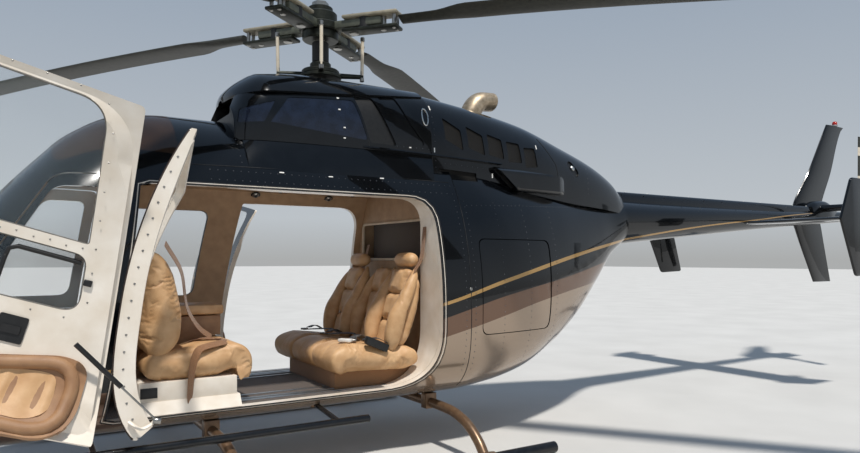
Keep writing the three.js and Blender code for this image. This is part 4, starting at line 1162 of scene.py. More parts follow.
def door_foot(side):
    """The cutter that slants a cabin door's inner foot."""
    corners = [(side * FOOT_OUT, SILL_Z + SEAM), (side * FOOT_IN, SILL_Z + SEAM + FOOT_RISE),
               (side * FOOT_IN, FOOT_LOW), (side * FOOT_OUT, FOOT_LOW)]
    return prism(corners, -1.9, 0.5, [CREAM], "yz")


def passenger_panes(front, inset=0.0):
    """The two window openings, above and below the crossbar."""
    rear = WINDOW_REAR - inset
    at = front + WINDOW_FRONT + inset
    low, high = PASSENGER_WINDOW[0] + inset, PASSENGER_WINDOW[1] - inset
    under, over = CROSSBAR[0] - inset, CROSSBAR[1] + inset
    top = rounded([(leaning(at, over), over, 0.015), (rear, over, 0.02), (rear, high, 0.15),
                   (leaning(at, high), high, 0.11)])
    bottom = rounded([(leaning(at, low), low, 0.075), (rear, low, 0.13), (rear, under, 0.03),
                      (leaning(at, under), under, 0.05)])
    return top, bottom


def passenger_pad(front, inset, top_reach):
    low, high = SILL_Z + 0.02 + inset, OPENING_TOP - 0.012 - inset
    rear = OPENING_REAR - (inset + 0.012) * REAR_SEAM
    return rounded([(leaning(front + inset, low), low, 0.05), (rear, low, 0.37), (rear, high, 0.19),
                    (leaning(front + inset, high), high, top_reach)], 16)


def sheet_and_pad(outline, pad_outer, pad_inner, side):
    """A cabin door's outer sheet and the thicker padded panel on its inner side."""
    sheet = carve(hollow_skin(DOOR_SHEET, CREAM), ("INTERSECT", side_cut(outline, side, [CREAM])))
    pad = carve(hollow_skin(WALL, CREAM), ("INTERSECT", drafted(
        pad_outer, pad_inner, side, DOOR_SHEET, WALL, [CREAM])))
    return loose(sheet), loose(pad)


def passenger_door(name, side, front, front_inset):
    sheet, pad = sheet_and_pad(opening_outline(front, SEAM, front_inset), passenger_pad(front, 0.018, 0.2),
                               passenger_pad(front, 0.07, 0.15), side)
    mesh = carve(sheet, ("UNION", pad), ("DIFFERENCE", door_foot(side)),
                 *[("DIFFERENCE", side_cut(outline, side, [CREAM])) for outline in passenger_panes(front)])
    place(f"{name}_shell", mesh, name, "cream_paint", [name], hull_level, 25)


def litter_door():
    sheet, pad = sheet_and_pad(litter_outline(SEAM), litter_outline(0.02), litter_outline(0.05), PORT)
    rear = DOOR_SPLIT - SEAM
    depth = smooth_table([(0.46, 0.07), (0.6, 0.08), (0.9, 0.08), (1.2, 0.074),
                          (1.45, 0.066), (1.62, 0.05), (1.749, 0.024)])
    rings = []
    for z in steps(0.48, 1.7485, 40):
        x0, x1 = leaning(rear - 0.07, z), leaning(rear, z)
        rings.append([Vector((x, -half_width(x, z, inset), z)) for x, inset in
                      ((x0, 0.004), (x1, 0.004), (x1, depth(z)[0]), (x0, depth(z)[0]))])
    post = lofted(rings, CREAM)
    mesh = carve(sheet, ("UNION", pad), ("UNION", post), ("DIFFERENCE", door_foot(PORT)),
                 ("DIFFERENCE", side_cut(litter_window(), PORT, [CREAM])))
    place("litter_door_shell", mesh, "litter_door", "cream_paint", ["litter_door"], hull_level, 25)


def crew_door(name, side):
    mesh = carve(hollow_skin(WALL, LINING), ("INTERSECT", side_cut(crew_outline(SEAM), side, [BLACK])),
                 ("DIFFERENCE", side_cut(crew_window(), side, [BLACK])))
    place(f"{name}_shell", mesh, name, "black_paint", [name], hull_level)


passenger_door("passenger_door_left", PORT, DOOR_SPLIT, 0.0)
passenger_door("passenger_door_right", STARBOARD, RIGHT_FRONT, SEAM)
litter_door()
crew_door("crew_door_left", PORT)
crew_door("crew_door_right", STARBOARD)


# Aft fuselage and baggage door

BAGGAGE_FRONT, BAGGAGE_REAR = 0.74, 1.5
BAGGAGE_LOW, BAGGAGE_HIGH = 0.79, 1.48
BAGGAGE_REAR_SEAM = 2.5


def baggage_outline(inset=0.0):
    low, high = BAGGAGE_LOW + inset, BAGGAGE_HIGH - inset
    front, rear = BAGGAGE_FRONT + inset, BAGGAGE_REAR - inset * BAGGAGE_REAR_SEAM
    return rounded([(front, low, 0.06), (rear, low, 0.06), (rear, high, 0.06), (front, high, 0.06)])


def aft_body(inset, start, end, materials):
    spacing = 0.05
    stations = steps(start, end, round((end - start) / spacing))
    return shape(*loft([hull_ring(x, inset) for x in stations]), materials, len(materials) - 1)


HOLD = (0.7, 1.56)
EXHAUST_X = 1.15
GRILLE = [(0.537, 1.99, 0.012), (0.886, 1.978, 0.008), (0.886, 1.912, 0.008), (0.62, 1.91, 0.012)]
LOUVRES = [((0.61, 2.375), (0.771, 2.139)), ((0.817, 2.331), (0.976, 2.119)),
           ((1.014, 2.293), (1.17, 2.107)),
           ((1.21, 2.255), (1.362, 2.095)), ((1.397, 2.225), (1.54, 2.076))]


def aft_fuselage():
    hold = carve(aft_body(WALL, *HOLD, [CARPET]),
                 ("INTERSECT", prism(corners_of(0.6, 1.7, 0.62, 1.64), -0.8, 0.8, [CARPET])))
    cuts = [("DIFFERENCE", loose(hold)), ("DIFFERENCE", side_cut(baggage_outline(), PORT, [BLACK]))]
    for side in SIDES:
        cuts.append(("DIFFERENCE", patch(rounded(GRILLE, 4), on_side(side), [BLACK, MESH], PROUD, 0.012)))
    mesh = carve(aft_body(0.0, CABIN_END + GAP, BOOM_ROOT, [PAINT, LINING]), *cuts)
    place("aft_skin", mesh, slot="black_paint", replaces=["aft_fuselage"], level=hull_level)
    leaf = carve(aft_body(0.0, *HOLD, [PAINT]), ("DIFFERENCE", aft_body(WALL, 0.66, 1.6, [CARPET])),
                 ("INTERSECT", side_cut(baggage_outline(SEAM), PORT, [BLACK])))
    place("baggage_leaf", leaf, "baggage_door", "black_paint", ["baggage_door"], hull_level)


# Cowlings

def arch_body(table, start, end, inset, materials, spacing=0.04, count=64, stretch=None):
    stations = steps(start, end, round((end - start) / spacing))
    if stretch:
        stations = stretch + [x for x in stations if x > stretch[-1] + 0.01]
    return shape(*loft([arch_ring((x, *table(x)), inset, count) for x in stations]),
                 materials, len(materials) - 1)


PILLAR = [(-0.11, 2.44, 0.01), (0.03, 2.45, 0.02), (0.2, 2.12, 0.03), (-0.005, 2.125, 0.02)]
FRONT_PANE = [(-0.885, 2.19, 0.012), (-0.87, 2.28, 0.012), (-0.66, 2.345, 0.012), (-0.735, 2.2, 0.012)]
SIDE_PANE = [(-0.699, 2.202, 0.012), (-0.573, 2.376, 0.012), (-0.12, 2.411, 0.03),
             (-0.025, 2.14, 0.03), (-0.367, 2.167, 0.2)]
HOLLOW = [(0.06, 2.5, 0.02), (0.21, 2.5, 0.05), (0.3, 2.3, 0.12), (0.44, 2.14, 0.05),
          (0.25, 2.13, 0.04), (0.17, 2.3, 0.12)]


def mast_hole():
    return upright((HUB_X, 0), 2.3, 2.75, 0.13, PLASTIC, 40)


RECESS = [(1.93, 2.135, 0.05), (2.0, 2.19, 0.05), (2.11, 2.08, 0.05), (2.05, 2.02, 0.05)]


def fairing():
    cuts = []
    for side in SIDES:
        for corners, count, inner, depth in ((PILLAR, 5, PLASTIC, 0.014),
                                             (FRONT_PANE, 4, SMOKE_PANE, 0.004),
                                             (SIDE_PANE, 6, SMOKE_PANE, 0.004), (HOLLOW, 6, BLACK, 0.008)):
            cuts.append(patch(rounded(corners, count), on_table(fairing_at, side),
                              [BLACK, inner], PROUD, depth))
    mouth = rounded([(-0.23, 2.265, 0.03), (0.23, 2.265, 0.03), (0.21, 2.4, 0.04), (-0.21, 2.4, 0.04)])
    cuts.append(prism(mouth, -1.0, -0.7, [PLASTIC], "yz"))
    cuts.append(mast_hole())
    inside = arch_body(fairing_at, -0.8, 0.6, 0.02, [PLASTIC], 0.1)
    mesh = carve(arch_body(fairing_at, -0.9, 0.48, 0.0, [BLACK, BLACK],
                           stretch=[-0.9, -0.892, -0.88, -0.86]),
                 ("DIFFERENCE", inside), *[("DIFFERENCE", cut) for cut in cuts])
    place("fairing_skin", mesh, slot="black_paint", replaces=["transmission_fairing"],
          level=arch_level(fairing_at))


# station, half width, top, height of the lip's lower edge
visor_at = smooth_table([
    (-0.9, 0.1, 2.405, 2.38), (-0.892, 0.2, 2.428, 2.382), (-0.862, 0.31, 2.468, 2.386),
                         (-0.805, 0.39, 2.516, 2.392),
    (-0.72, 0.448, 2.566, 2.402), (-0.34, 0.474, 2.604, 2.43), (0.0, 0.476, 2.605, 2.465),
                         (0.3, 0.474, 2.604, 2.5),
    (0.47, 0.472, 2.603, 2.52),
])


def visor():
    """The lip that runs round the front of the fairing and hoods its windows."""
    base, power, thickness = 2.08, 2.9, 0.018
    rings = []
    for x in [-0.9, -0.897, -0.89, -0.877, -0.858, -0.832] + steps(-0.81, 0.47, 30):
        half, top, edge = visor_at(x)
        foot = math.asin(min(1.0, max(0.0, (edge - base) / (top - base))) ** (power / 2))
        angles = [foot + (math.pi - 2 * foot) * i / 48 for i in range(49)]
        outer = [Vector((x, half * bent(math.cos(a), power),
                         base + (top - base) * bent(math.sin(a), power)))
                 for a in angles]
        inner = [p + (Vector((x, 0, 2.2)) - p).normalized() * thickness for p in outer]
        rings.append(outer + inner[::-1])
    hood = carve(lofted(rings, BLACK), ("DIFFERENCE", mast_hole()))
    place("fairing_visor", hood, slot="black_paint", angle=40)


def louvre(corners):
    """A slanted slot between its upper front corner and its lower rear corner."""
    (x0, z0), (x1, z1) = corners
    reach = 0.012
    return rounded([(x0 + 0.004, z0 - 0.165, reach), (x1, z1, reach), (x1 - 0.012, z1 + 0.156, reach),
                    (x0, z0, reach)], 4)


def cowling():
    cuts = []
    for side in SIDES:
        where = on_table(cowl_at, side)
        for corners in LOUVRES:
            cuts.append(patch(louvre(corners), where, [BLACK, MESH], PROUD, 0.009))
        cuts.append(patch(rounded(GRILLE, 4), where, [BLACK, MESH], PROUD, 0.012))
        cuts.append(patch(rounded(RECESS, 6), where, [BLACK, PLASTIC], PROUD, 0.012))
    cuts.append(upright((EXHAUST_X, 0), 2.3, 2.75, 0.115, PLASTIC, 40))
    inside = arch_body(cowl_at, 0.44, 2.62, 0.02, [PLASTIC], 0.1)
    mesh = carve(arch_body(cowl_at, 0.4803, BOOM_ROOT, 0.0, [BLACK, BLACK]),
                 ("DIFFERENCE", inside), *[("DIFFERENCE", cut) for cut in cuts])
    place("cowl_skin", mesh, slot="black_paint", replaces=["engine_cowling"], level=arch_level(cowl_at))
    place("exhaust_pipe", exhaust(), slot="beige_metal", replaces=["exhaust_stack"])


def exhaust():
    """An elbow of heat-stained sheet, its mouth cut square to face aft."""
    path = bezier([(EXHAUST_X, 0, 2.38), (EXHAUST_X, 0, 2.5), (1.19, 0, 2.6),
                   (1.26, 0, 2.65), (1.37, 0, 2.66)], 20)
    rings = []
    sides = 32
    for i, point in enumerate(path):
        share = i / (len(path) - 1)
        along = (path[min(i + 1, 20)] - path[max(i - 1, 0)]).normalized()
        up = Vector((0, 1, 0)).cross(along)
        wide, tall = 0.088 + 0.012 * share, 0.088 - 0.012 * share
        rings.append([point + Vector((0, 1, 0)) * wide * math.cos(a) + up * tall * math.sin(a)
                      for a in round_angles(sides)])
    wall = [[point + (p - point) * 0.93 for p in ring] for point, ring in zip(path, rings)]
    size = len(rings)
    points, faces = loft(rings, caps=False)
    more, inner = loft(wall, caps=False)
    faces += [tuple(v + size * sides for v in f) for f in inner]
    for row in (0, size - 1):
        for k in range(sides):
            a, b = row * sides + k, row * sides + (k + 1) % sides
            faces.append((a, b, b + size * sides, a + size * sides))
    return merged([shape(points + more, faces, [EXHAUST])])


def deck_sides():
    """The upright panels under the fairing, from its foot down to the cabin roof."""
    head, foot, thickness = 2.0805, 1.886, 0.03
    parts = []
    for side in SIDES:
        rings = []
        for x in steps(-0.86, 0.4799, 40):
            top = fairing_at(x)[2] - 0.004
            low = half_width(x, foot)
            middle = 0.35 * top + 0.65 * low
            rings.append([Vector((x, side * y, z)) for y, z in (
                (top, head), (middle, 1.985), (low, foot),
                (low - thickness, foot), (middle - thickness, 1.98), (top - thickness, head))])
        parts.append(lofted(rings, BLACK))
    place("deck_side_panels", merged(parts), slot="black_paint", angle=40)


SMOKE_PANE = grained("smoked_polycarbonate", "10141F", "1A2233", 0.12, 300, 0.0)
aft_fuselage()
fairing()
visor()
deck_sides()
cowling()


# Boom, fin and tail surfaces

def foil_ring(lead, trail, thickness, across, count=14):
    """A symmetrical profile as a closed ring from its leading edge."""
    chord = trail - lead

    def half(t):
        profile = 0.2969 * math.sqrt(t) - 0.126 * t - 0.3516 * t * t + 0.2843 * t ** 3 - 0.099 * t ** 4
        return 2.6 * profile / 0.26
    shares = [(1 - math.cos(math.pi * i / count)) / 2 for i in range(count + 1)]
    thick = [half(t) * 0.5 * thickness for t in shares]
    thick[0], thick[-1] = 0.0, thickness * 0.04
    upper = [lead + chord * t + across * h for t, h in zip(shares, thick)]
    lower = [lead + chord * t - across * h for t, h in zip(shares, thick)][1:]
    return upper + lower[::-1]


def lofted_mesh(rings, material):
    return merged([lofted(rings, material)])


# The tail rotor's axis, and where the cover over its drive ends
TAIL_X, TAIL_Z = 6.5, 1.96
COVER_END = 6.25


def boom():
    rings = [oval_ring(x) for x in steps(BOOM_ROOT + GAP, 7.06, 60)]
    place("boom_skin", lofted_mesh(rings, PAINT), slot="black_paint", replaces=["tail_boom"],
          level=boom_level)
    cover = smooth_table([(BOOM_ROOT, 1.7, 1.985, 0.075, 2.6), (COVER_END, 1.8, 1.985, 0.06, 2.6)])
    place("shaft_cover_skin", merged([arch_body(cover, BOOM_ROOT + GAP, COVER_END, 0.0, [BLACK], 0.1, 24)]),
          slot="black_paint", replaces=["shaft_cover"])
    case = smooth_table([(COVER_END + GAP, 1.8, 1.985, 0.06, 2.6), (6.38, 1.8, 2.05, 0.095, 2.4),
                         (6.62, 1.8, 2.065, 0.1, 2.4),
                         (6.9, 1.81, 1.99, 0.06, 2.2)])
    seat = block(6.43, 6.815, 0.04, 0.112, 1.83, 1.955, BLACK)
    shaft = rod((TAIL_X, 0, TAIL_Z), (TAIL_X, -0.44, TAIL_Z), 0.046, BLACK, 32, 0.04, 0.004)
    place("tail_gearbox_case",
          merged([arch_body(case, COVER_END + GAP, 6.9, 0.0, [BLACK], 0.05, 32), seat, shaft]),
          slot="black_paint", replaces=["tail_gearbox"])


FIN_FOOT, FIN_TOP = FIN[0][0], FIN[-1][0]
LAMP_X = 7.215


def fin():
    rings = []
    for z in steps(FIN_FOOT, FIN_TOP, 40):
        lead, trail, thick = fin_at(z)
        rings.append(foil_ring(Vector((lead, FIN_Y, z)), Vector((trail, FIN_Y, z)),
                               thick, Vector((0, 1, 0))))
    place("fin_skin", lofted_mesh(rings, BLACK), slot="black_paint", replaces=["vertical_fin"])
    lamp = upright((LAMP_X, FIN_Y), FIN_TOP + GAP, 3.112, 0.036, ALUMINIUM, 28, 0.003)
    dome = [[Vector((LAMP_X + r * math.cos(a), FIN_Y + r * math.sin(a), z)) for a in round_angles(28)]
            for r, z in [(0.03, 3.108), (0.031, 3.13), (0.028, 3.146), (0.02, 3.156), (0.008, 3.16)]]
    place("beacon_lamp", merged([lamp, lofted(dome, LENS)]), slot="red_lens", replaces=["beacon"])


STAB_X, STAB_Z, STAB_SPAN = 5.008, 1.735, 1.155
STAB_HALF = 0.21
# station and height from the stabilizer's middle, roundness of the corner
END_PLATE = [
    (-0.29, -0.008, 0.02), (0.004, -0.575, 0.04), (0.396, -0.56, 0.04), (0.214, 0, 0.02),
    (0.33, 0.402, 0.04), (-0.102, 0.402, 0.04),
]


def stabilizer():
    rings = [foil_ring(Vector((STAB_X - STAB_HALF, y, STAB_Z)),
                       Vector((STAB_X + STAB_HALF, y, STAB_Z)), 0.044,
                       Vector((0, 0, 1))) for y in (-STAB_SPAN, STAB_SPAN)]
    place("stabilizer_skin", lofted_mesh(rings, BLACK), slot="black_paint", replaces=["stabilizer"])
    outline = rounded([(STAB_X + x, STAB_Z + z, r) for x, z, r in END_PLATE], 5)
    for name, side in NAMED_SIDES:
        near, far = sorted((side * (STAB_SPAN + GAP), side * (STAB_SPAN + 0.026)))
        made = softened(outline, near, far, BLACK, width=0.01, segments=3)
        place(f"end_plate_{name}_skin", merged([made]), slot="black_paint", replaces=[f"end_plate_{name}"])


def tail_rotor():
    parts = [rod((TAIL_X, -0.4403, TAIL_Z), (TAIL_X, -0.57, TAIL_Z), 0.034, STEEL, 24, bevel=0.003),
             block(6.455, 6.545, -0.54, -0.48, 1.84, 2.08, HUB)]
    blade_y = -0.51
    for up in (1, -1):
        rings = []
        for r in [0.1, 0.13, 0.16, 0.19, 0.22, 0.26, 0.3, 0.33, 0.36, 0.4, 0.6, 0.7, 0.76, 0.825]:
            t = min(1.0, max(0.0, (r - 0.1) / 0.16))
            lead, trail = 0.04 + 0.015 * t, 0.04 + 0.035 * t
            z = TAIL_Z + up * r
            rings.append(foil_ring(Vector((TAIL_X - up * lead, blade_y, z)),
                                   Vector((TAIL_X + up * trail, blade_y, z)),
                                   0.03 - 0.018 * t, Vector((0, 1, 0)), 8))
        blade = shape(*loft(rings), [BLADE, LINK])
        for polygon in blade.data.polygons:
            r = abs(polygon.center.z - TAIL_Z)
            polygon.material_index = int(0.30 < r < 0.36 or 0.6 < r < 0.7)
        parts.append(blade)
    place("tail_rotor_blades", merged(parts), "tail_rotor", "blade_grey", ["tail_rotor"])


boom()
fin()
stabilizer()
tail_rotor()


# Landing gear and steps

SKID_Y, SKID_Z = 1.11, 0.042
STEP_Y, STEP_Z = 0.85, 0.35


def cross_tube(name, x):
    half = [(0.0, 0.294), (0.45, 0.294), (0.68, 0.286), (0.86, 0.244), (1.01, 0.149), (1.11, 0.03)]
    spots = [(x, -y, z) for y, z in half[:0:-1]] + [(x, y, z) for y, z in half]
    parts = [turned_tube(bezier(spots, 60), 0.034, BRONZE, 24)]
    for side in SIDES:
        y = side * 0.41
        saddle = [(x + d, side * 1.108, 0.075 - abs(d) * 0.1) for d in (-0.06, -0.02, 0.02, 0.06)]
        parts += [block(x - 0.045, x + 0.045, y - 0.035, y + 0.035, 0.25, 0.36, BRONZE),
                  turned_tube(saddle, 0.02, BRONZE, 12)]
    place(f"{name}_bar", merged(parts), slot="bronze_metal", replaces=[name])


def skid(name, y):
    bend, knee, tip = -1.75, -2.03, -2.18
    path = [(x, y, SKID_Z) for x in (1.07, 0.5, -0.6, bend)]
    for t in steps(0, 1, 12)[1:]:
        path.append(((1 - t) ** 2 * bend + 2 * t * (1 - t) * knee + t * t * tip, y, SKID_Z + t * t * 0.17))
    parts = [turned_tube(path, 0.038, GLOSS_TUBE, 24),
             block(-1.6, 0.95, y - 0.022, y + 0.022, 0.0, 0.014, STEEL, 0.003)]
    place(f"{name}_tube", merged(parts), slot="dark_metal", replaces=[name])


def step(name, side):
    y, root = side * STEP_Y, side * 0.45
    parts = [rod((-1.95, y, STEP_Z), (-0.22, y, STEP_Z), 0.024, GLOSS_TUBE, 24, bevel=0.008)]
    for x in (-1.75, -0.42):
        parts += [rod((x, y, STEP_Z), (x, root, 0.393), 0.016, GLOSS_TUBE, 16),
                  block(x - 0.03, x + 0.03, root - 0.03, root + 0.03, 0.372, 0.41, BRONZE)]
    place(f"{name}_tube", merged(parts), slot="dark_metal", replaces=[name])


cross_tube("cross_tube_front", -1.07)
cross_tube("cross_tube_rear", 0.49)
skid("skid_left", -SKID_Y)
skid("skid_right", SKID_Y)
step("step_left", PORT)
step("step_right", STARBOARD)


# Rotor

FIRST_BLADE = 128
BLADE_TURN = [math.radians(FIRST_BLADE + 90 * i) for i in range(4)]
BLADE_ROOT, BLADE_TIP = 0.6403, 5.335


def droop(radius):
    """How far a resting blade hangs at a radius."""
    return -0.014 * radius * radius


def rotor_blades():
    chord_at = smooth_table([(BLADE_ROOT, 0.13, 0.056), (0.9, 0.15, 0.05), (1.15, 0.273, 0.034),
                             (2.2, 0.273, 0.03), (3.4, 0.273, 0.028), (4.5, 0.273, 0.026),
                             (BLADE_TIP, 0.273, 0.022)])
    for i, turn in enumerate(BLADE_TURN):
        rings = []
        for r in steps(BLADE_ROOT, 1.2, 10) + steps(1.4, BLADE_TIP, 16):
            chord, thick = chord_at(r)
            lead, trail = Vector((r, chord * 0.35, droop(r))), Vector((r, -chord * 0.65, droop(r)))
            rings.append(foil_ring(lead, trail, thick, Vector((0, 0, 1)), 10))
        where = Matrix.Translation((HUB_X, 0, HUB_Z)) @ Matrix.Rotation(turn, 4, "Z")
        place(f"rotor_blade_{i + 1}", lofted_mesh(rings, BLADE), "main_rotor", "blade_grey",
              [f"main_blade_{i + 1}"], rest=where)


# low, high, radius, material, sides, bevel; the hub's heights are from its middle
HUB_STACK = [
    (-0.0903, -0.03, 0.13, HUB, 40, 0.008), (-0.03, 0.03, 0.15, HUB, 40, 0.01),
             (0.03, 0.11, 0.12, HUB, 40, 0.01),
    (0.1, 0.15, 0.09, HUB, 32, 0.006), (0.15, 0.19, 0.06, STEEL, 6, 0.004),
]
MAST_STACK = [
    (2.4203, 2.9097, 0.045, STEEL, 32), (2.633, 2.66, 0.15, HUB, 40, 0.006),
              (2.66, 2.697, 0.135, HUB, 40, 0.008),
    (2.697, 2.75, 0.075, HUB, 32, 0.008), (2.75, 2.9, 0.06, RUBBER, 32, 0.008),
]


def rotor_head():
    axis = (HUB_X, 0)
    parts = [upright(axis, HUB_Z + low, HUB_Z + high, *others) for low, high, *others in HUB_STACK]
    for turn in BLADE_TURN:
        swing = Matrix.Translation((HUB_X, 0, HUB_Z)) @ Matrix.Rotation(turn, 4, "Z")
        arm = [
            block(0.06, 0.5, -0.05, 0.05, -0.028, 0.028, CUFF, 0.012),
            block(0.2, 0.62, -0.066, 0.066, -0.062, -0.038, HUB, 0.01),
            block(0.2, 0.62, -0.066, 0.066, 0.034, 0.058, YOKE, 0.01),
            upright((0.27, 0), -0.07, 0.07, 0.034, STEEL, 20, 0.004),
            upright((0.36, 0), -0.06, 0.06, 0.055, RUBBER, 28, 0.008),
            upright((0.5, 0), -0.066, 0.066, 0.02, STEEL, 16, 0.003),
            upright((0.59, 0.03), -0.066, 0.06, 0.014, STEEL, 12, 0.003),
            upright((0.59, -0.03), -0.066, 0.06, 0.014, STEEL, 12, 0.003),
        ]
        for piece in arm:
            for v in piece.data.vertices:
                v.co.z += droop(v.co.x)
            piece.data.transform(swing)
        parts += arm
    place("rotor_hub_head", merged(parts), "main_rotor", "dark_metal", ["rotor_hub"])
    parts = [upright(axis, *sizes) for sizes in MAST_STACK]
    plate_z = 2.665
    for turn in BLADE_TURN:
        angle = turn + math.radians(30)

        def out(reach, z):
            return Vector((HUB_X + math.cos(angle) * reach, math.sin(angle) * reach, z))
        parts.append(rod(out(0.12, plate_z), out(0.31, plate_z), 0.02, HUB, 16, 0.016, 0.003))
        foot, top = out(0.3, 2.645), out(0.305, 2.94)
        parts.append(rod(foot, top, 0.012, LINK, 16))
        for spot in (foot, top):
            parts.append(upright(spot, spot.z - 0.016, spot.z + 0.016, 0.016, STEEL, 16, 0.004))
        parts.append(upright(foot, foot.z + 0.03, foot.z + 0.06, 0.0125, STEEL, 6))
    place("rotor_mast_head", merged(parts), "main_rotor", "dark_metal", ["rotor_mast"])


rotor_blades()
rotor_head()


# Soft pieces: pods of foam under hide, swelled by a short cloth run

def pod(rows, power=2.4, along=28, sides=36, tip=6, axis="z"):
    """A closed rounded body. rows give place along, two centre offsets and two half sizes."""
    table = smooth_table(rows)
    first, last = rows[0][0], rows[-1][0]
    rings = []
    for i in range(along + 1):
        share = 0.002 + 0.996 * (1 - math.cos(math.pi * i / along)) / 2
        where = first + (last - first) * share
        cx, cy, rx, ry = table(where)
        close = max(0.02, (1 - abs(2 * share - 1) ** tip)) ** 0.5
        ring = []
        for angle in round_angles(sides):
            u = cx + rx * close * bent(math.cos(angle), power)
            v = cy + ry * close * bent(math.sin(angle), power)
            ring.append(Vector((u, v, where)) if axis == "z" else Vector((u, where, v)))
        rings.append(ring)
    return lofted(rings, LEATHER)


def round_path(points, count=64):
    """A closed smooth outline through points."""
    size = len(points)
    path = []
    for i in range(size):
        a, b, c, d = [Vector(points[(i + k) % size]) for k in (-1, 0, 1, 2)]
        for t in steps(0, 1, count // size)[:-1]:
            even, bow = (c - a) * t, (2 * a - 5 * b + 4 * c - d) * t * t
            path.append(0.5 * (2 * b + even + bow + (3 * b - a - 3 * c + d) * t ** 3))
    return path


def pillow(points, y0, y1, edge=0.03, count=64):
    """A cushion drawn in side view, with its two ends rounded over."""
    path = round_path(points, count)
    size = len(path)
    middle = sum(path, Vector((0, 0))) / size
    rounding = [(edge * (1 - math.cos(a)), math.sin(a)) for a in steps(0.05, math.pi / 2, 6)]
    rows = [(y0 + inward, share) for inward, share in rounding]
    rows += [(y0 + edge + (y1 - y0 - 2 * edge) * t, 1) for t in (0.25, 0.5, 0.75)]
    rows += [(y1 - inward, share) for inward, share in rounding[::-1]]
    rings = []
    for y, share in rows:
        ring = []
        for i in range(size):
            along = (path[(i + 1) % size] - path[i - 1]).normalized()
            inward = Vector((-along.y, along.x))
            if inward.dot(middle - path[i]) < 0:
                inward = -inward
            p = path[i] + inward * edge * (1 - share)
            ring.append(Vector((p.x, y, p.y)))
        rings.append(ring)
    return lofted(rings, LEATHER)


VOXEL = 0.006
PRESSURE = 4.0
SWELL_FRAMES = 20


def swelled(made, reach):
    """Remeshes a piece evenly and lets cloth under pressure round it out, no point moving beyond reach."""
    even = made.modifiers.new("even", "REMESH")
    even.mode = "VOXEL"
    even.voxel_size = VOXEL
    mesh = evaluated(made)
    bpy.data.objects.remove(made)
    mesh.materials.clear()
    mesh.materials.append(LEATHER)
    body = loose(mesh)
    before = [v.co.copy() for v in mesh.vertices]
    cloth = body.modifiers.new("cloth", "CLOTH")
    cloth.settings.use_pressure = True
    cloth.settings.uniform_pressure_force = PRESSURE
    cloth.settings.effector_weights.gravity = 0
    cloth.settings.quality = 4
    cloth.point_cache.frame_start = 1
    cloth.point_cache.frame_end = SWELL_FRAMES
    scene = bpy.context.scene
    for frame_number in range(1, SWELL_FRAMES + 1):
        scene.frame_set(frame_number)
    result = evaluated(body)
    for vertex, start in zip(result.vertices, before):
        move = vertex.co - start
        if move.length > reach:
            vertex.co = start + move.normalized() * reach
    bpy.data.objects.remove(body)
    scene.frame_set(1)
    return loose(result)


LEAN = math.radians(17)
BACK_FOOT = Vector((0.1, 0, 0.71))
BENCH_Y = 0.378
MID_Y = 0.37
BENCH_PLACES = (("left", -BENCH_Y), ("middle", 0.0), ("right", BENCH_Y))
ACROSS = Vector((0, 1, 0))


def mirrored_twin(source):
    twin = loose(source.data.copy())
    twin.data.transform(Matrix.Scale(-1, 4, ACROSS))
    twin.data.flip_normals()
    return twin


def seat_back(rolled=True):
    """One place's back, upright at its own foot: backing, insert, two bolsters and a rolled headrest."""
    backing = pod([(0.0, 0.085, 0, 0.045, 0.16), (0.3, 0.09, 0, 0.05, 0.172), (0.5, 0.085, 0, 0.045, 0.15),
                   (0.6, 0.08, 0, 0.035, 0.1)], 3.2)
    inserts = []
    for low, high, near, far in [(-0.02, 0.212, 0.084, 0.096), (0.207, 0.405, 0.096, 0.108),
                                 (0.4, 0.59, 0.106, 0.114)]:
        inserts.append(pod([(low, 0.045, 0, 0.05, near), (high, 0.05, 0, 0.05, far)], 5, 16, tip=10))
    bolster = pod([(-0.035, 0.02, -0.11, 0.03, 0.04), (0.06, 0.0, -0.138, 0.062, 0.05),
                   (0.22, -0.012, -0.15, 0.068, 0.044),
                   (0.38, 0.012, -0.15, 0.055, 0.038), (0.52, 0.04, -0.138, 0.04, 0.032),
                   (0.61, 0.06, -0.102, 0.024, 0.022)], 2.2, 40, tip=4)
    left = swelled(bolster, 0.012)
    right = mirrored_twin(left)
    pieces = [swelled(backing, 0.01)] + [swelled(each, 0.006) for each in inserts] + [left, right]
    if rolled:
        roll = pod([(-0.115, 0.034, 0.655, 0.052, 0.052), (0.115, 0.034, 0.655, 0.052, 0.052)],
                   2.0, 20, 32, 5, axis="y")
        pieces.append(swelled(roll, 0.006))
    return loose(merged(pieces))


def soften(name, source, matrix, replaces):
    """A padded piece: a copy of the source, moved to its seat."""
    mesh = source.data.copy()
    mesh.transform(matrix)
    made = place(name, mesh, "airframe", "leather", replaces, angle=60)


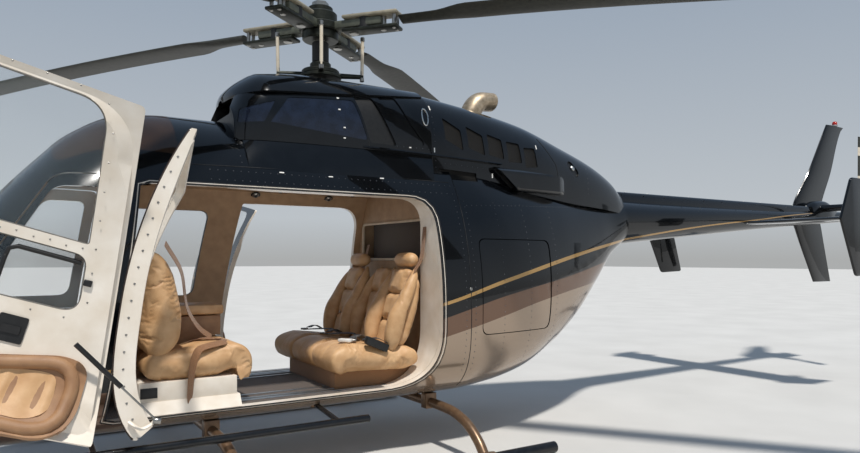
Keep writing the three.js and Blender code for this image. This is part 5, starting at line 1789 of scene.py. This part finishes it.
def seats():
    back = seat_back()
    plain = seat_back(rolled=False)
    lean = Matrix.Rotation(LEAN, 4, "Y")
    for name, y in BENCH_PLACES:
        source, width, aft = (plain, 0.92, 0.05) if name == "middle" else (back, 1.08, 0.0)
        foot = BACK_FOOT + Vector((aft, y * 0.975, 0))
        where = Matrix.Translation(foot) @ lean @ Matrix.Scale(width, 4, ACROSS)
        soften(f"bench_back_{name}", source, where, ["bench_back"])
    seat = swelled(pillow([(0.3, 0.598), (0.02, 0.597), (-0.2, 0.6), (-0.27, 0.585),
                           (-0.32, 0.6), (-0.345, 0.66), (-0.325, 0.72),
                           (-0.24, 0.752), (-0.08, 0.74), (0.12, 0.715), (0.3, 0.7)],
                          -0.186, 0.186, 0.035), 0.02)
    for name, y in BENCH_PLACES:
        soften(f"bench_seat_{name}", seat, Matrix.Translation((0, y, 0)), ["bench_cushion"])
    cushion = swelled(pillow([(-1.45, 0.66), (-1.1, 0.655), (-0.95, 0.69), (-0.915, 0.62),
                              (-0.875, 0.615), (-0.855, 0.69), (-0.86, 0.76),
                              (-0.91, 0.815), (-1.02, 0.825), (-1.25, 0.795), (-1.45, 0.79)],
                             -0.195, 0.195, 0.04), 0.014)
    rest = swelled(pillow([(-1.44, 0.78), (-1.37, 0.77), (-1.28, 0.86), (-1.27, 1.0),
                           (-1.31, 1.2), (-1.35, 1.32), (-1.41, 1.38),
                           (-1.45, 1.34), (-1.47, 1.1), (-1.475, 0.9)], -0.19, 0.19, 0.05), 0.02)
    for name, side in NAMED_SIDES:
        shift = Matrix.Translation((0, side * MID_Y, 0))
        soften(f"mid_cushion_{name}", cushion, shift, [f"mid_seat_{name}"])
        soften(f"mid_back_{name}", rest, shift, [f"mid_seat_{name}"])
        # the crew seats are the middle seats turned to face forward, and narrower
        turn = Matrix.Translation((-2.98, side * 0.268, -0.02)) @ Matrix.Scale(0.8, 4, ACROSS)
        turn = turn @ Matrix.Rotation(math.pi, 4, "Z")
        soften(f"crew_cushion_{name}", cushion, turn, [f"crew_seat_{name}"])
        soften(f"crew_back_{name}", rest, turn, [f"crew_seat_{name}"])
    for each in (back, plain, seat, cushion, rest):
        bpy.data.objects.remove(each)


seats()


# Cabin floor, bases, consoles

TAN_PILE = pile("tan_carpet", "8C6545", "A67D57", 4.0)


FLOOR_LOW = 0.424
BASE_FOOT = FLOOR_TOP + GAP


def cabin_fittings():
    outer = hull_body(WALL + GAP, -2.7, CABIN_END - GAP, [CARPET])
    slab = prism(corners_of(-2.7, CABIN_END, FLOOR_LOW, FLOOR_TOP), -0.8, 0.8, [CARPET])
    place("floor_carpet", carve(outer, ("INTERSECT", slab)), slot="carpet", replaces=["cabin_floor"])
    box = block(-0.26, 0.455, -0.42, 0.42, BASE_FOOT, 0.5897, TAN_PILE, 0.006)
    place("bench_box", merged([box]), slot="cream_paint", replaces=["bench_base"])
    skirt = [(-0.6, BASE_FOOT), (0.6, BASE_FOOT), (0.555, 0.53), (-0.555, 0.53)]
    base = [block(-1.5, -0.95, -0.55, 0.55, 0.5, 0.6397, CREAM, 0.006),
            prism(skirt, -1.5, -0.935, [CREAM], "yz"),
            block(-1.49, -1.4, -0.556, -0.548, 0.552, 0.61, PLASTIC, 0.002)]
    place("mid_seat_box", merged(base), slot="cream_paint", replaces=["mid_seat_base"])
    locker = [block(-1.3, -0.935, -0.14, 0.14, 0.6403, 0.97, LEATHER_SHADE, 0.012),
              block(-1.3, -0.915, -0.15, 0.15, 0.975, 1.04, LEATHER, 0.02)]
    place("mid_locker", merged(locker), slot="leather", replaces=["mid_console"])
    console = softened(rounded([(-2.56, BASE_FOOT, 0.02), (-2.12, BASE_FOOT, 0.02), (-2.12, 0.7, 0.06),
                                (-2.3, 1.06, 0.04), (-2.56, 1.0, 0.04)], 5), -0.15, 0.15, PLASTIC)
    place("console_pedestal", merged([console]), slot="black_plastic", replaces=["instrument_console"])


cabin_fittings()


# Trim round the port opening

def along_opening(start, end, inset=0.0):
    """Points of the port opening's edge, between two shares of its way round."""
    ring = opening_outline(LITTER_FRONT, inset)
    ring.append(ring[0])
    lengths = [0.0]
    for a, b in zip(ring, ring[1:]):
        lengths.append(lengths[-1] + (b - a).length)
    total = lengths[-1]
    points = []
    for share in steps(start, end, 90):
        target = share * total
        i = max(0, min(len(ring) - 2, sum(1 for l in lengths if l <= target) - 1))
        t = (target - lengths[i]) / max(1e-9, lengths[i + 1] - lengths[i])
        points.append(ring[i] + (ring[i + 1] - ring[i]) * t)
    return points


def edge_tube(inset, radius, material):
    """A seal all round the port opening; a negative inset lays it outside the edge."""
    path = [on_hull(p.x, p.y, PORT)[0] for p in along_opening(0.0, 0.9999, inset)]
    return turned_tube(path, radius, material, 8)


def rear_liner():
    """The cream panel that closes the gap between the door frame and the bench."""
    thickness, inner = 0.012, -0.44
    points = along_opening(0.2, 0.72)
    rings = []
    for i, p in enumerate(points):
        along = (points[min(i + 1, len(points) - 1)] - points[max(i - 1, 0)]).normalized()
        out = Vector((along.y, -along.x)) * thickness
        y_out = -half_width(p.x, p.y, 0.043)
        reach = min(1.0, i / 8, (len(points) - 1 - i) / 8)
        y_in = y_out + (max(0.03, inner - y_out)) * (0.25 + 0.75 * reach)
        rings.append([Vector((p.x, y_out, p.y)), Vector((p.x, y_in, p.y)),
                      Vector((p.x + out.x, y_in, p.y + out.y)), Vector((p.x + out.x, y_out, p.y + out.y))])
    return lofted(rings, CREAM)


def opening_trim():
    parts = [edge_tube(-0.004, 0.0045, RUBBER), edge_tube(-0.0125, 0.003, CREAM),
             edge_tube(-0.0185, 0.003, RUBBER)]
    place("door_opening_seal", merged(parts), angle=60)
    place("rear_trim_panel", merged([rear_liner()]), angle=40)


opening_trim()


# Details of the doors

SEAL_BROWN = plain_rubber("brown_door_seal", "2A1D15", "3A2A1F", 0.7)
PANE_SEAL = plain_rubber("grey_pane_seal", "5D5A55", "77736C", 0.6)
DARK_RIVET = metal("painted_rivets", "2A2C30", "44474C", 0.3, metallic=0.3)
# White enamel; on the small latch plates of the cowl, fairing and hull its white is a painted highlight,
# standing for the sun's glints on their hinges and edges.
WHITE_PAINT_AND_GLINT = metal("white_enamel_and_glint", "DAD8D2", "EFEDE8", 0.35, metallic=0.0)


def edge_run(x, z0, z1, depth, count=40, lift=0.0):
    """Points down the aft edge of the litter door, at a depth under the skin, facing aft."""
    rows = []
    for z in steps(z0, z1, count):
        at = leaning(x, z)
        rows.append((Vector((at + lift, -half_width(at, z, depth(z) if callable(depth) else depth), z)),
                     Vector((1, 0, 0))))
    return rows


def litter_details():
    rear = DOOR_SPLIT - SEAM
    rivets = edge_run(rear, 0.55, 1.62,
                      lambda z: 0.036 if z < 1.3 else 0.036 - 0.05 * (z - 1.3), lift=0.0007)
    heads("litter_post_rivets", [rivets], 0.065, 0.005, STEEL, "litter_door")
    parts = [turned_tube([p for p, _ in edge_run(rear, 0.47, 1.74, 0.001, lift=-0.004)],
                         0.0045, SEAL_BROWN, 8)]
    place("litter_post_seal", merged(parts), "litter_door", angle=60)
    foot = edge_run(rear, 0.56, 0.6, 0.03, 1)[0][0]
    arm = [foot + Vector((0.004, 0, -0.02)), foot + Vector((0.02, 0.05, -0.045)),
           foot + Vector((0.012, 0.09, -0.02)), Vector((-0.7, -0.545, 0.5535))]
    bracket = [turned_tube(bezier(arm, 14), 0.008, CREAM, 12, flat=0.6),
               rod((-0.703, -0.55, 0.553), (-0.703, -0.52, 0.553), 0.0125, STEEL, 20, bevel=0.002)]
    place("litter_strut_eye", merged(bracket), "litter_door", "cream_paint", angle=50)


def inner_box(x0, x1, z0, z1, side, low, high):
    """A block on a door's inner face, between two depths under the skin."""
    y0, y1 = sorted(side * half_width((x0 + x1) / 2, (z0 + z1) / 2, depth) for depth in (low, high))
    return block(x0, x1, y0, y1, z0, z1, PLASTIC, 0.003)


# The passenger doors' armrest, its pocket and the roll round it, drawn on the port door
ARMREST = [
    (0.02, 0.6, 0.06), (0.02, 0.5, 0.08), (-0.2, 0.468, 0.1), (-0.63, 0.468, 0.07), (-0.695, 0.54, 0.06),
    (-0.685, 0.74, 0.05), (-0.6, 0.765, 0.05), (-0.1, 0.66, 0.06),
]
POCKET = [
    (-0.05, 0.6, 0.05), (-0.05, 0.545, 0.05), (-0.54, 0.515, 0.05), (-0.605, 0.56, 0.04),
          (-0.59, 0.69, 0.04),
    (-0.5, 0.69, 0.05),
]
ROLL = [
    (-0.03, 0.62), (-0.25, 0.66), (-0.45, 0.705), (-0.58, 0.728), (-0.632, 0.7),
        (-0.65, 0.64), (-0.645, 0.56),
    (-0.61, 0.507), (-0.54, 0.49), (-0.35, 0.5), (-0.15, 0.52), (-0.03, 0.545),
]
HANDLE_PLATE = [(-0.34, 0.768, 0.008), (-0.34, 0.868, 0.008), (-0.437, 0.866, 0.008),
                (-0.437, 0.766, 0.008)]
HANDLE_GRIP = [(-0.355, 0.8, 0.004), (-0.355, 0.83, 0.004), (-0.42, 0.83, 0.004), (-0.42, 0.8, 0.004)]
VENT_FRAME = [(-0.54, 1.116), (-0.32, 1.116), (-0.292, 1.1), (-0.288, 1.06), (-0.288, 0.99)]


def passenger_details(name, side, front):
    where = on_side(side, WALL)
    shift = front - DOOR_SPLIT

    def shifted(corners):
        return [(x + shift, *others) for x, *others in corners]
    pad = patch(rounded(shifted(ARMREST), 8), where, [LEATHER_SHADE, LEATHER_SHADE], 0.012, 0.004)

    def folds(x, z):
        within = max(0.0, math.sin(math.pi * (z - 0.51) / 0.19))
        return 0.015 + 0.0045 * math.sin(95 * x + 9 * z + 1.3 * math.sin(31 * x)) * within
    pocket = patch(rounded(shifted(POCKET), 8), where, [LEATHER], folds, 0.002, 0.009)
    rim = [point + facing * 0.014 for point, facing in (where(x, z) for x, z in shifted(ROLL))]
    rolled = turned_tube(bezier(rim, 60), 0.025, LEATHER_SHADE, 20)
    made = place(f"{name}_armrest", merged([pad, pocket, rolled]), name, "leather", angle=60)
    vent_line = [Vector((x, side * half_width(x, z, 0.021), z)) for x, z in shifted(VENT_FRAME)]
    trim = [patch(rounded(shifted(HANDLE_PLATE), 5), where, [PLASTIC], 0.006, 0.004),
            patch(rounded(shifted(HANDLE_GRIP), 5), where, [RUBBER], 0.012, 0.004),
            turned_tube(vent_line, 0.009, PLASTIC, 8),
            inner_box(-0.296 + shift, -0.284 + shift, 1.005, 1.075, side, 0.018, 0.032),
            inner_box(-0.6 + shift, -0.57 + shift, 1.035, 1.06, side, WALL, WALL + 0.012)]
    place(f"{name}_fittings", merged(trim), name, "black_plastic", angle=50)
    gasket = []
    for outline in passenger_panes(front, 0.001):
        line = [Vector((p.x, side * half_width(p.x, p.y, 0.019), p.y)) for p in outline]
        gasket.append(turned_tube(line, 0.004, PANE_SEAL, 6, closed=True))
    place(f"{name}_pane_seals", merged(gasket), name, angle=60)
    screws = []
    for ring in passenger_panes(front, -0.024):
        spots = [where(p.x, p.y) for p in ring + [ring[0]]]
        screws.append([(point + facing * 0.0006, facing) for point, facing in spots])
    heads(f"{name}_screws", screws, 0.11, 0.0036, STEEL, name)


litter_details()
passenger_details("passenger_door_left", PORT, DOOR_SPLIT)
passenger_details("passenger_door_right", STARBOARD, RIGHT_FRONT)


# Cabin lining, recess, vents and belts

LINER = grained("beige_side_panel", "C9B79E", "D8C8B1", 0.5, 3.0, 0.0002)


def rear_wall():
    """The panel behind the bench, with the rim and the lining of the shelf in it."""
    x, thickness = 0.452, 0.012
    outer = hull_body(WALL + 0.0006, 0.3, 0.6, [LINING])
    sheet = prism(corners_of(x, x + thickness, 0.5, 1.8497), -0.8, 0.8, [LINING])
    mouth = rounded([(y, z, 0.04) for y, z in corners_of(-0.4, 0.56, 1.33, 1.62)], 8)
    wall = carve(outer, ("INTERSECT", sheet),
                 ("DIFFERENCE", prism(mouth, x - 0.1, x + 0.1, [LINING], "yz")))
    place("rear_wall_panel", wall, slot="cream_paint")
    rim = turned_tube([Vector((x - 0.002, p.x, p.y)) for p in mouth], 0.011, LINER, 10, closed=True)
    place("rear_shelf_rim", merged([rim]), angle=60)
    back = [block(x + front, x + 0.11, -0.41, 0.57, low, high, CARPET)
            for front, low, high in ((0.1, 1.32, 1.63), (0.013, 1.31, 1.32), (0.013, 1.63, 1.64))]
    place("rear_shelf_box", merged(back), angle=40)


OUTLET_Z = 1.822


def air_outlet(x, y, z, facing):
    facing = Vector(facing).normalized()
    at = Vector((x, y, z))
    return [rod(at, at + facing * 0.006, 0.036, PLASTIC, 32, bevel=0.002),
            rod(at + facing * 0.005, at + facing * 0.014, 0.027, STEEL, 28, 0.02, 0.002),
            rod(at + facing * 0.013, at + facing * 0.02, 0.012, PLASTIC, 20, bevel=0.002)]


def ceiling_fittings():
    parts = []
    for x in (-1.15, -0.35, 0.25):
        for side in SIDES:
            parts += air_outlet(x, side * 0.36, CEILING_Z - 0.0005, (0, 0, -1))
    for x in (-0.5, 0.1):
        for side in SIDES:
            at = side * half_width(x, OUTLET_Z, WALL + 0.001)
            parts += air_outlet(x, at, OUTLET_Z, (0, -side, -1.6))
    place("ceiling_outlets", merged(parts), slot="black_plastic", angle=40)


def strap(points, facing, material, width=0.048):
    """A belt's webbing along points, 3 mm thick."""
    return ribbon(bezier(points, 40), width, 0.003, material, facing)


def buckle(at, along, material=STEEL, size=(0.05, 0.036, 0.014)):
    x, y, z = [side / 2 for side in size]
    made = block(-x, x, -y, y, -z, z, material, 0.003)
    turn = Vector(along).to_track_quat("X", "Z").to_matrix().to_4x4()
    made.data.transform(Matrix.Translation(Vector(at)) @ turn)
    return made


def seat_line(spots, y, side):
    """Points (x, outward, z) of a belt beside the middle of a seat at y."""
    return [(x, y + side * out, z) for x, out, z in spots]


# x, outward from the seat's middle, z
LAP_BELT = [(0.07, -0.17, 0.76), (0.0, -0.12, 0.795), (-0.09, -0.03, 0.79), (-0.12, 0.04, 0.782)]
LAP_TONGUE = [(0.07, 0.17, 0.765), (-0.01, 0.15, 0.8), (-0.08, 0.1, 0.79)]
MID_SHOULDER = [(-1.36, 0.2, 1.42), (-1.25, 0.1, 1.25), (-1.2, 0, 1.05), (-1.1, -0.1, 0.9),
                (-1.02, -0.14, 0.84)]
MID_HANGING = [
    (-1.2, -0.19, 0.8), (-1.08, -0.05, 0.845), (-1.0, 0.08, 0.845), (-1.02, 0.15, 0.84),
               (-1.17, 0.185, 0.81),
    (-1.22, 0.2, 0.66), (-1.225, 0.19, 0.54), (-1.22, 0.185, 0.48),
]
# x, z and roundness of the buckle's stalk beside the near seat
STALK = [(-0.1, 0.77, 0.012), (0.06, 0.7, 0.012), (0.08, 0.75, 0.012), (-0.085, 0.822, 0.012)]


def belts():
    parts = []
    for name, y in BENCH_PLACES:
        side = PORT if name == "left" else STARBOARD
        parts += [strap(seat_line(LAP_BELT, y, side), (-0.1, 0, 1), BLACK_BELT),
                  buckle((-0.13, y + side * 0.06, 0.785), (-0.4, side, 0)),
                  strap(seat_line(LAP_TONGUE, y, side), (-0.1, 0, 1), BLACK_BELT, 0.045)]
    parts += [buckle((-0.2, -0.46, 0.79), (-0.6, 0.8, 0), WHITE_PAINT_AND_GLINT, (0.09, 0.045, 0.02)),
              softened(rounded(STALK, 4), -0.568, -0.53, PLASTIC, width=0.006)]
    place("bench_lap_belts", merged(parts), slot="black_plastic", angle=50)
    shoulder = []
    for y, anchor, inward in ((-BENCH_Y, (0.4, -0.5, 1.56), 0.06), (BENCH_Y, (0.45, 0.46, 1.45), -0.03)):
        line = [anchor, (anchor[0] - 0.04, anchor[1] * 0.6 + y * 0.4 - inward, 1.33), (0.27, y - 0.13, 1.2),
                (0.2, y - 0.12, 1.05)]
        shoulder.append(strap(line, (-1, 0, 0.3), TAN_BELT, 0.042))
    place("bench_shoulder_belts", merged(shoulder), slot="leather", angle=50)
    mid = []
    for side in SIDES:
        y = side * MID_Y
        mid += [strap(seat_line(MID_SHOULDER, y, side), (0.75, side * 0.6, 0.3), TAN_BELT, 0.044),
                strap(seat_line(MID_HANGING, y, side), (0.3, side * 0.5, 0.8), TAN_BELT, 0.044),
                buckle((-1.02, y - side * 0.02, 0.86), (0.2, side, 0.1))]
    place("mid_belts", merged(mid), slot="leather", angle=50)


def floor_rail(x0, x1, y, width, height):
    low = FLOOR_TOP + GAP
    return block(x0, x1, y - width / 2, y + width / 2, low, FLOOR_TOP + height, ALUMINIUM, 0.001)


def sill_trim():
    parts = []
    for side in SIDES:
        parts += [floor_rail(-1.45, 0.2, side * y, width, 0.005) for y,
                  width in ((0.455, 0.04), (0.4, 0.025))]
    parts += [floor_rail(-0.93, -0.28, y, 0.024, 0.006) for y in (-0.3, 0.3)]
    place("floor_rails", merged(parts), slot="steel", angle=40)


rear_wall()
ceiling_fittings()
belts()
sill_trim()


# Outside fittings: ledges, scoops, latches, seams and rivets

def ledge():
    parts = []
    for side in SIDES:
        for table, start, end in ((fairing_at, -0.06, 0.4799), (cowl_at, 0.4804, 1.12)):
            rings = []
            for x in steps(start, end, 24):
                z = 2.094 - 0.024 * (x + 0.05)
                grow = min(1.0, (x + 0.08) / 0.12)
                y = arch_half((x, *table(x)), z)
                rings.append([Vector((x, side * (y - 0.01), z + 0.012)),
                              Vector((x, side * (y + 0.03 * grow), z + 0.004)),
                              Vector((x, side * (y + 0.034 * grow), z - 0.004)),
                              Vector((x, side * (y - 0.01), z - 0.012))])
            parts.append(lofted(rings, BLACK))
    place("cowl_ledges", merged(parts), slot="black_paint", angle=30)


SCOOP_TIP, SCOOP_TOP, SCOOP_SLANT, SCOOP_REAR = 1.03, 2.035, 1.3, 1.845
SCOOP = [(SCOOP_TIP, SCOOP_TOP, 0.01), (1.25, 1.87, 0.03), (1.3, 1.862, 0.02),
         (1.79, 1.855, 0.03), (SCOOP_REAR, 1.89, 0.04), (1.8, 2.0, 0.04)]


def mouth_x(z):
    """The station of the scoop's slanted mouth at a height."""
    return SCOOP_TIP + (SCOOP_TOP - z) * SCOOP_SLANT


def limited(value):
    return max(0.0, min(1.0, value))


def scoop_swell(x, z):
    """How far the scoop stands off the cowl: rising at its edges, level between them."""
    ahead = (x - mouth_x(z)) / 0.03
    behind = (SCOOP_REAR - x) / 0.12
    over = (2.04 - z) / 0.035
    under = (z - 1.85) / 0.03
    edges = limited(behind) ** 0.5 * limited(over) ** 0.5 * limited(under) ** 0.5
    return 0.006 + 0.062 * edges * limited(ahead + 0.9) ** 0.3


def scoop():
    """A long intake blister whose slanted mouth faces forward."""
    parts = []
    mouths = []
    for side in SIDES:
        parts.append(patch(rounded(SCOOP, 6), on_table(cowl_at, side), [BLACK], scoop_swell, 0.006, 0.014))
        hole = []
        for z in steps(1.88, 2.02, 8):
            x = mouth_x(z)
            y = arch_half((x, *cowl_at(x)), z)
            hole.append([Vector((x - 0.01, side * (y + 0.004), z)),
                         Vector((x - 0.01, side * (y + 0.052), z)),
                         Vector((x + 0.06, side * (y + 0.046), z)),
                         Vector((x + 0.06, side * (y + 0.004), z))])
        mouths.append(lofted(hole, PLASTIC))
    body = carve(loose(merged(parts)), *[("DIFFERENCE", each) for each in mouths])
    place("cowl_scoops", body, slot="black_paint", angle=35)


def latch(where, x, z, wide, tall):
    """A small flush latch: a thin plate that follows the skin, its white a painted highlight for the glint
    on its hinge and edge.
    """
    outline = corners_of(x - wide / 2, x + wide / 2, z - tall / 2, z + tall / 2)
    return patch(outline, where, [WHITE_PAINT_AND_GLINT], 0.003, 0.002, 0.2)


# Station and height of the latches on each skin, with their width and height
COWL_LATCHES = ([(0.548, 1.93), (1.041, 1.97), (0.52, 2.44), (1.558, 2.245), (0.51, 2.12)], 0.009, 0.034)
FAIRING_LATCHES = ([(0.304, 2.12), (-0.2, 2.14), (-0.23, 2.33), (-0.23, 2.41), (-0.2, 2.21)], 0.016, 0.008)
HULL_LATCHES = ([
    (-0.2, 1.93), (0.304, 1.955), (0.05, 1.88), (-0.5, 1.97), (-0.66, 1.87), (-0.33, 1.865), (-0.78, 1.99),
], 0.03, 0.006)
# The oval chrome ring on the fairing's side
RING_X, RING_Z = 0.44, 2.354


def oval(width, height, count):
    """Points of an oval round the ring's middle."""
    return [Vector((RING_X + width * math.cos(a), RING_Z + height * math.sin(a)))
            for a in round_angles(count)]


def latches_and_rings():
    latches, rings, seams = [], [], []
    for side in SIDES:
        cowl, cover, hull = on_table(cowl_at, side), on_table(fairing_at, side), on_side(side)
        for where, (spots, wide, tall) in ((cowl, COWL_LATCHES), (cover, FAIRING_LATCHES),
                                           (hull, HULL_LATCHES)):
            latches += [latch(where, x, z, wide, tall) for x, z in spots]
        rim = [cover(p.x, p.y) for p in oval(0.024, 0.062, 28)]
        rings.append(turned_tube([point + facing * 0.003 for point, facing in rim],
                                 0.006, CHROME, 8, closed=True))
        rings.append(patch(oval(0.02, 0.054, 20), cover, [PLASTIC], 0.002, 0.002, 0.2))
        for (point, facing), height, radius, material, sides, bevel in (
                (cowl(2.01, 2.11), 0.012, 0.022, CHROME, 24, 0.003),
                (hull(0.638, 1.122), 0.004, 0.012, STEEL, 20, 0.001)):
            rings.append(rod(point, point + facing * height, radius, material, sides, bevel=bevel))
        for where, spots, radius, count in (
                (cowl, [(0.49, 1.92), (0.49, 2.56)], 0.003, 24),
                (cover, [(-0.02, 2.1), (-0.02, 2.14)], 0.003, 24),
                (cowl, [(1.62, 2.33), (1.78, 2.12), (1.8, 1.95)], 0.003, 24),
                (hull, [(CABIN_END, 0.42), (CABIN_END, 1.95)], 0.0028, 60),
                (hull, [(-1.2, 1.885), (-0.3, 1.9), (0.6, 1.885)], 0.0024, 30),
                (hull, [(-0.62, 1.9), (-0.6, 2.02)], 0.0024, 24),
                (hull, [(0.05, 1.9), (0.07, 2.02)], 0.0024, 24)):
            seams.append(seam(where, spots, radius, count))
    place("cowl_latches", merged(latches), angle=40)
    place("cowl_chrome_rings", merged(rings), slot="steel", angle=40)
    place("panel_seams", merged(seams), angle=60)


def rivet_rows():
    lines = []
    for side in SIDES:
        hull, cowl, cover = on_side(side), on_table(cowl_at, side), on_table(fairing_at, side)
        lines += [line_on(hull, [(x, 0.55), (x, 1.75)], 30) for x in (0.6, 0.68, 0.96, 1.25, 1.58)]
        lines += [line_on(hull, [(-1.1, z), (0.6, z)], 30) for z in (1.8, 1.86)]
        lines += [line_on(where, spots, count) for where, spots, count in (
            (hull, [(0.7, 1.72), (2.7, 1.8)], 30), (hull, [(-0.9, 1.92), (-0.9, 2.08)], 6),
            (cover, [(0.2, 2.12), (0.46, 2.12)], 8), (cowl, [(0.52, 1.95), (0.52, 2.52)], 20),
            (cowl, [(0.6, 2.03), (1.0, 2.02)], 20), (cowl, [(2.2, 1.9), (2.25, 2.2)], 12))]
    heads("body_rivets", lines, 0.045, 0.0042, DARK_RIVET)
    bright = [[(Vector((x, side * 0.062, 1.978)), Vector((0, 0, 1))) for x in steps(2.95, 6.15, 3)]
              for side in SIDES]
    heads("boom_cover_fasteners", bright, 0.32, 0.011, WHITE_PAINT_AND_GLINT, height=0.3)


ledge()
scoop()
latches_and_rings()
rivet_rows()


# Finishes for the plain nodes that stay as they are

def finish_plain_nodes():
    finishes = {"engine_block": STEEL, "gearbox_case": HUB, "strut_barrel": PLASTIC, "strut_rod": STEEL}
    for name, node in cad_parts.items():
        if node.hide_render:
            continue
        node.data.materials.clear()
        node.data.materials.append(finishes.get(name, PLASTIC))


finish_plain_nodes()
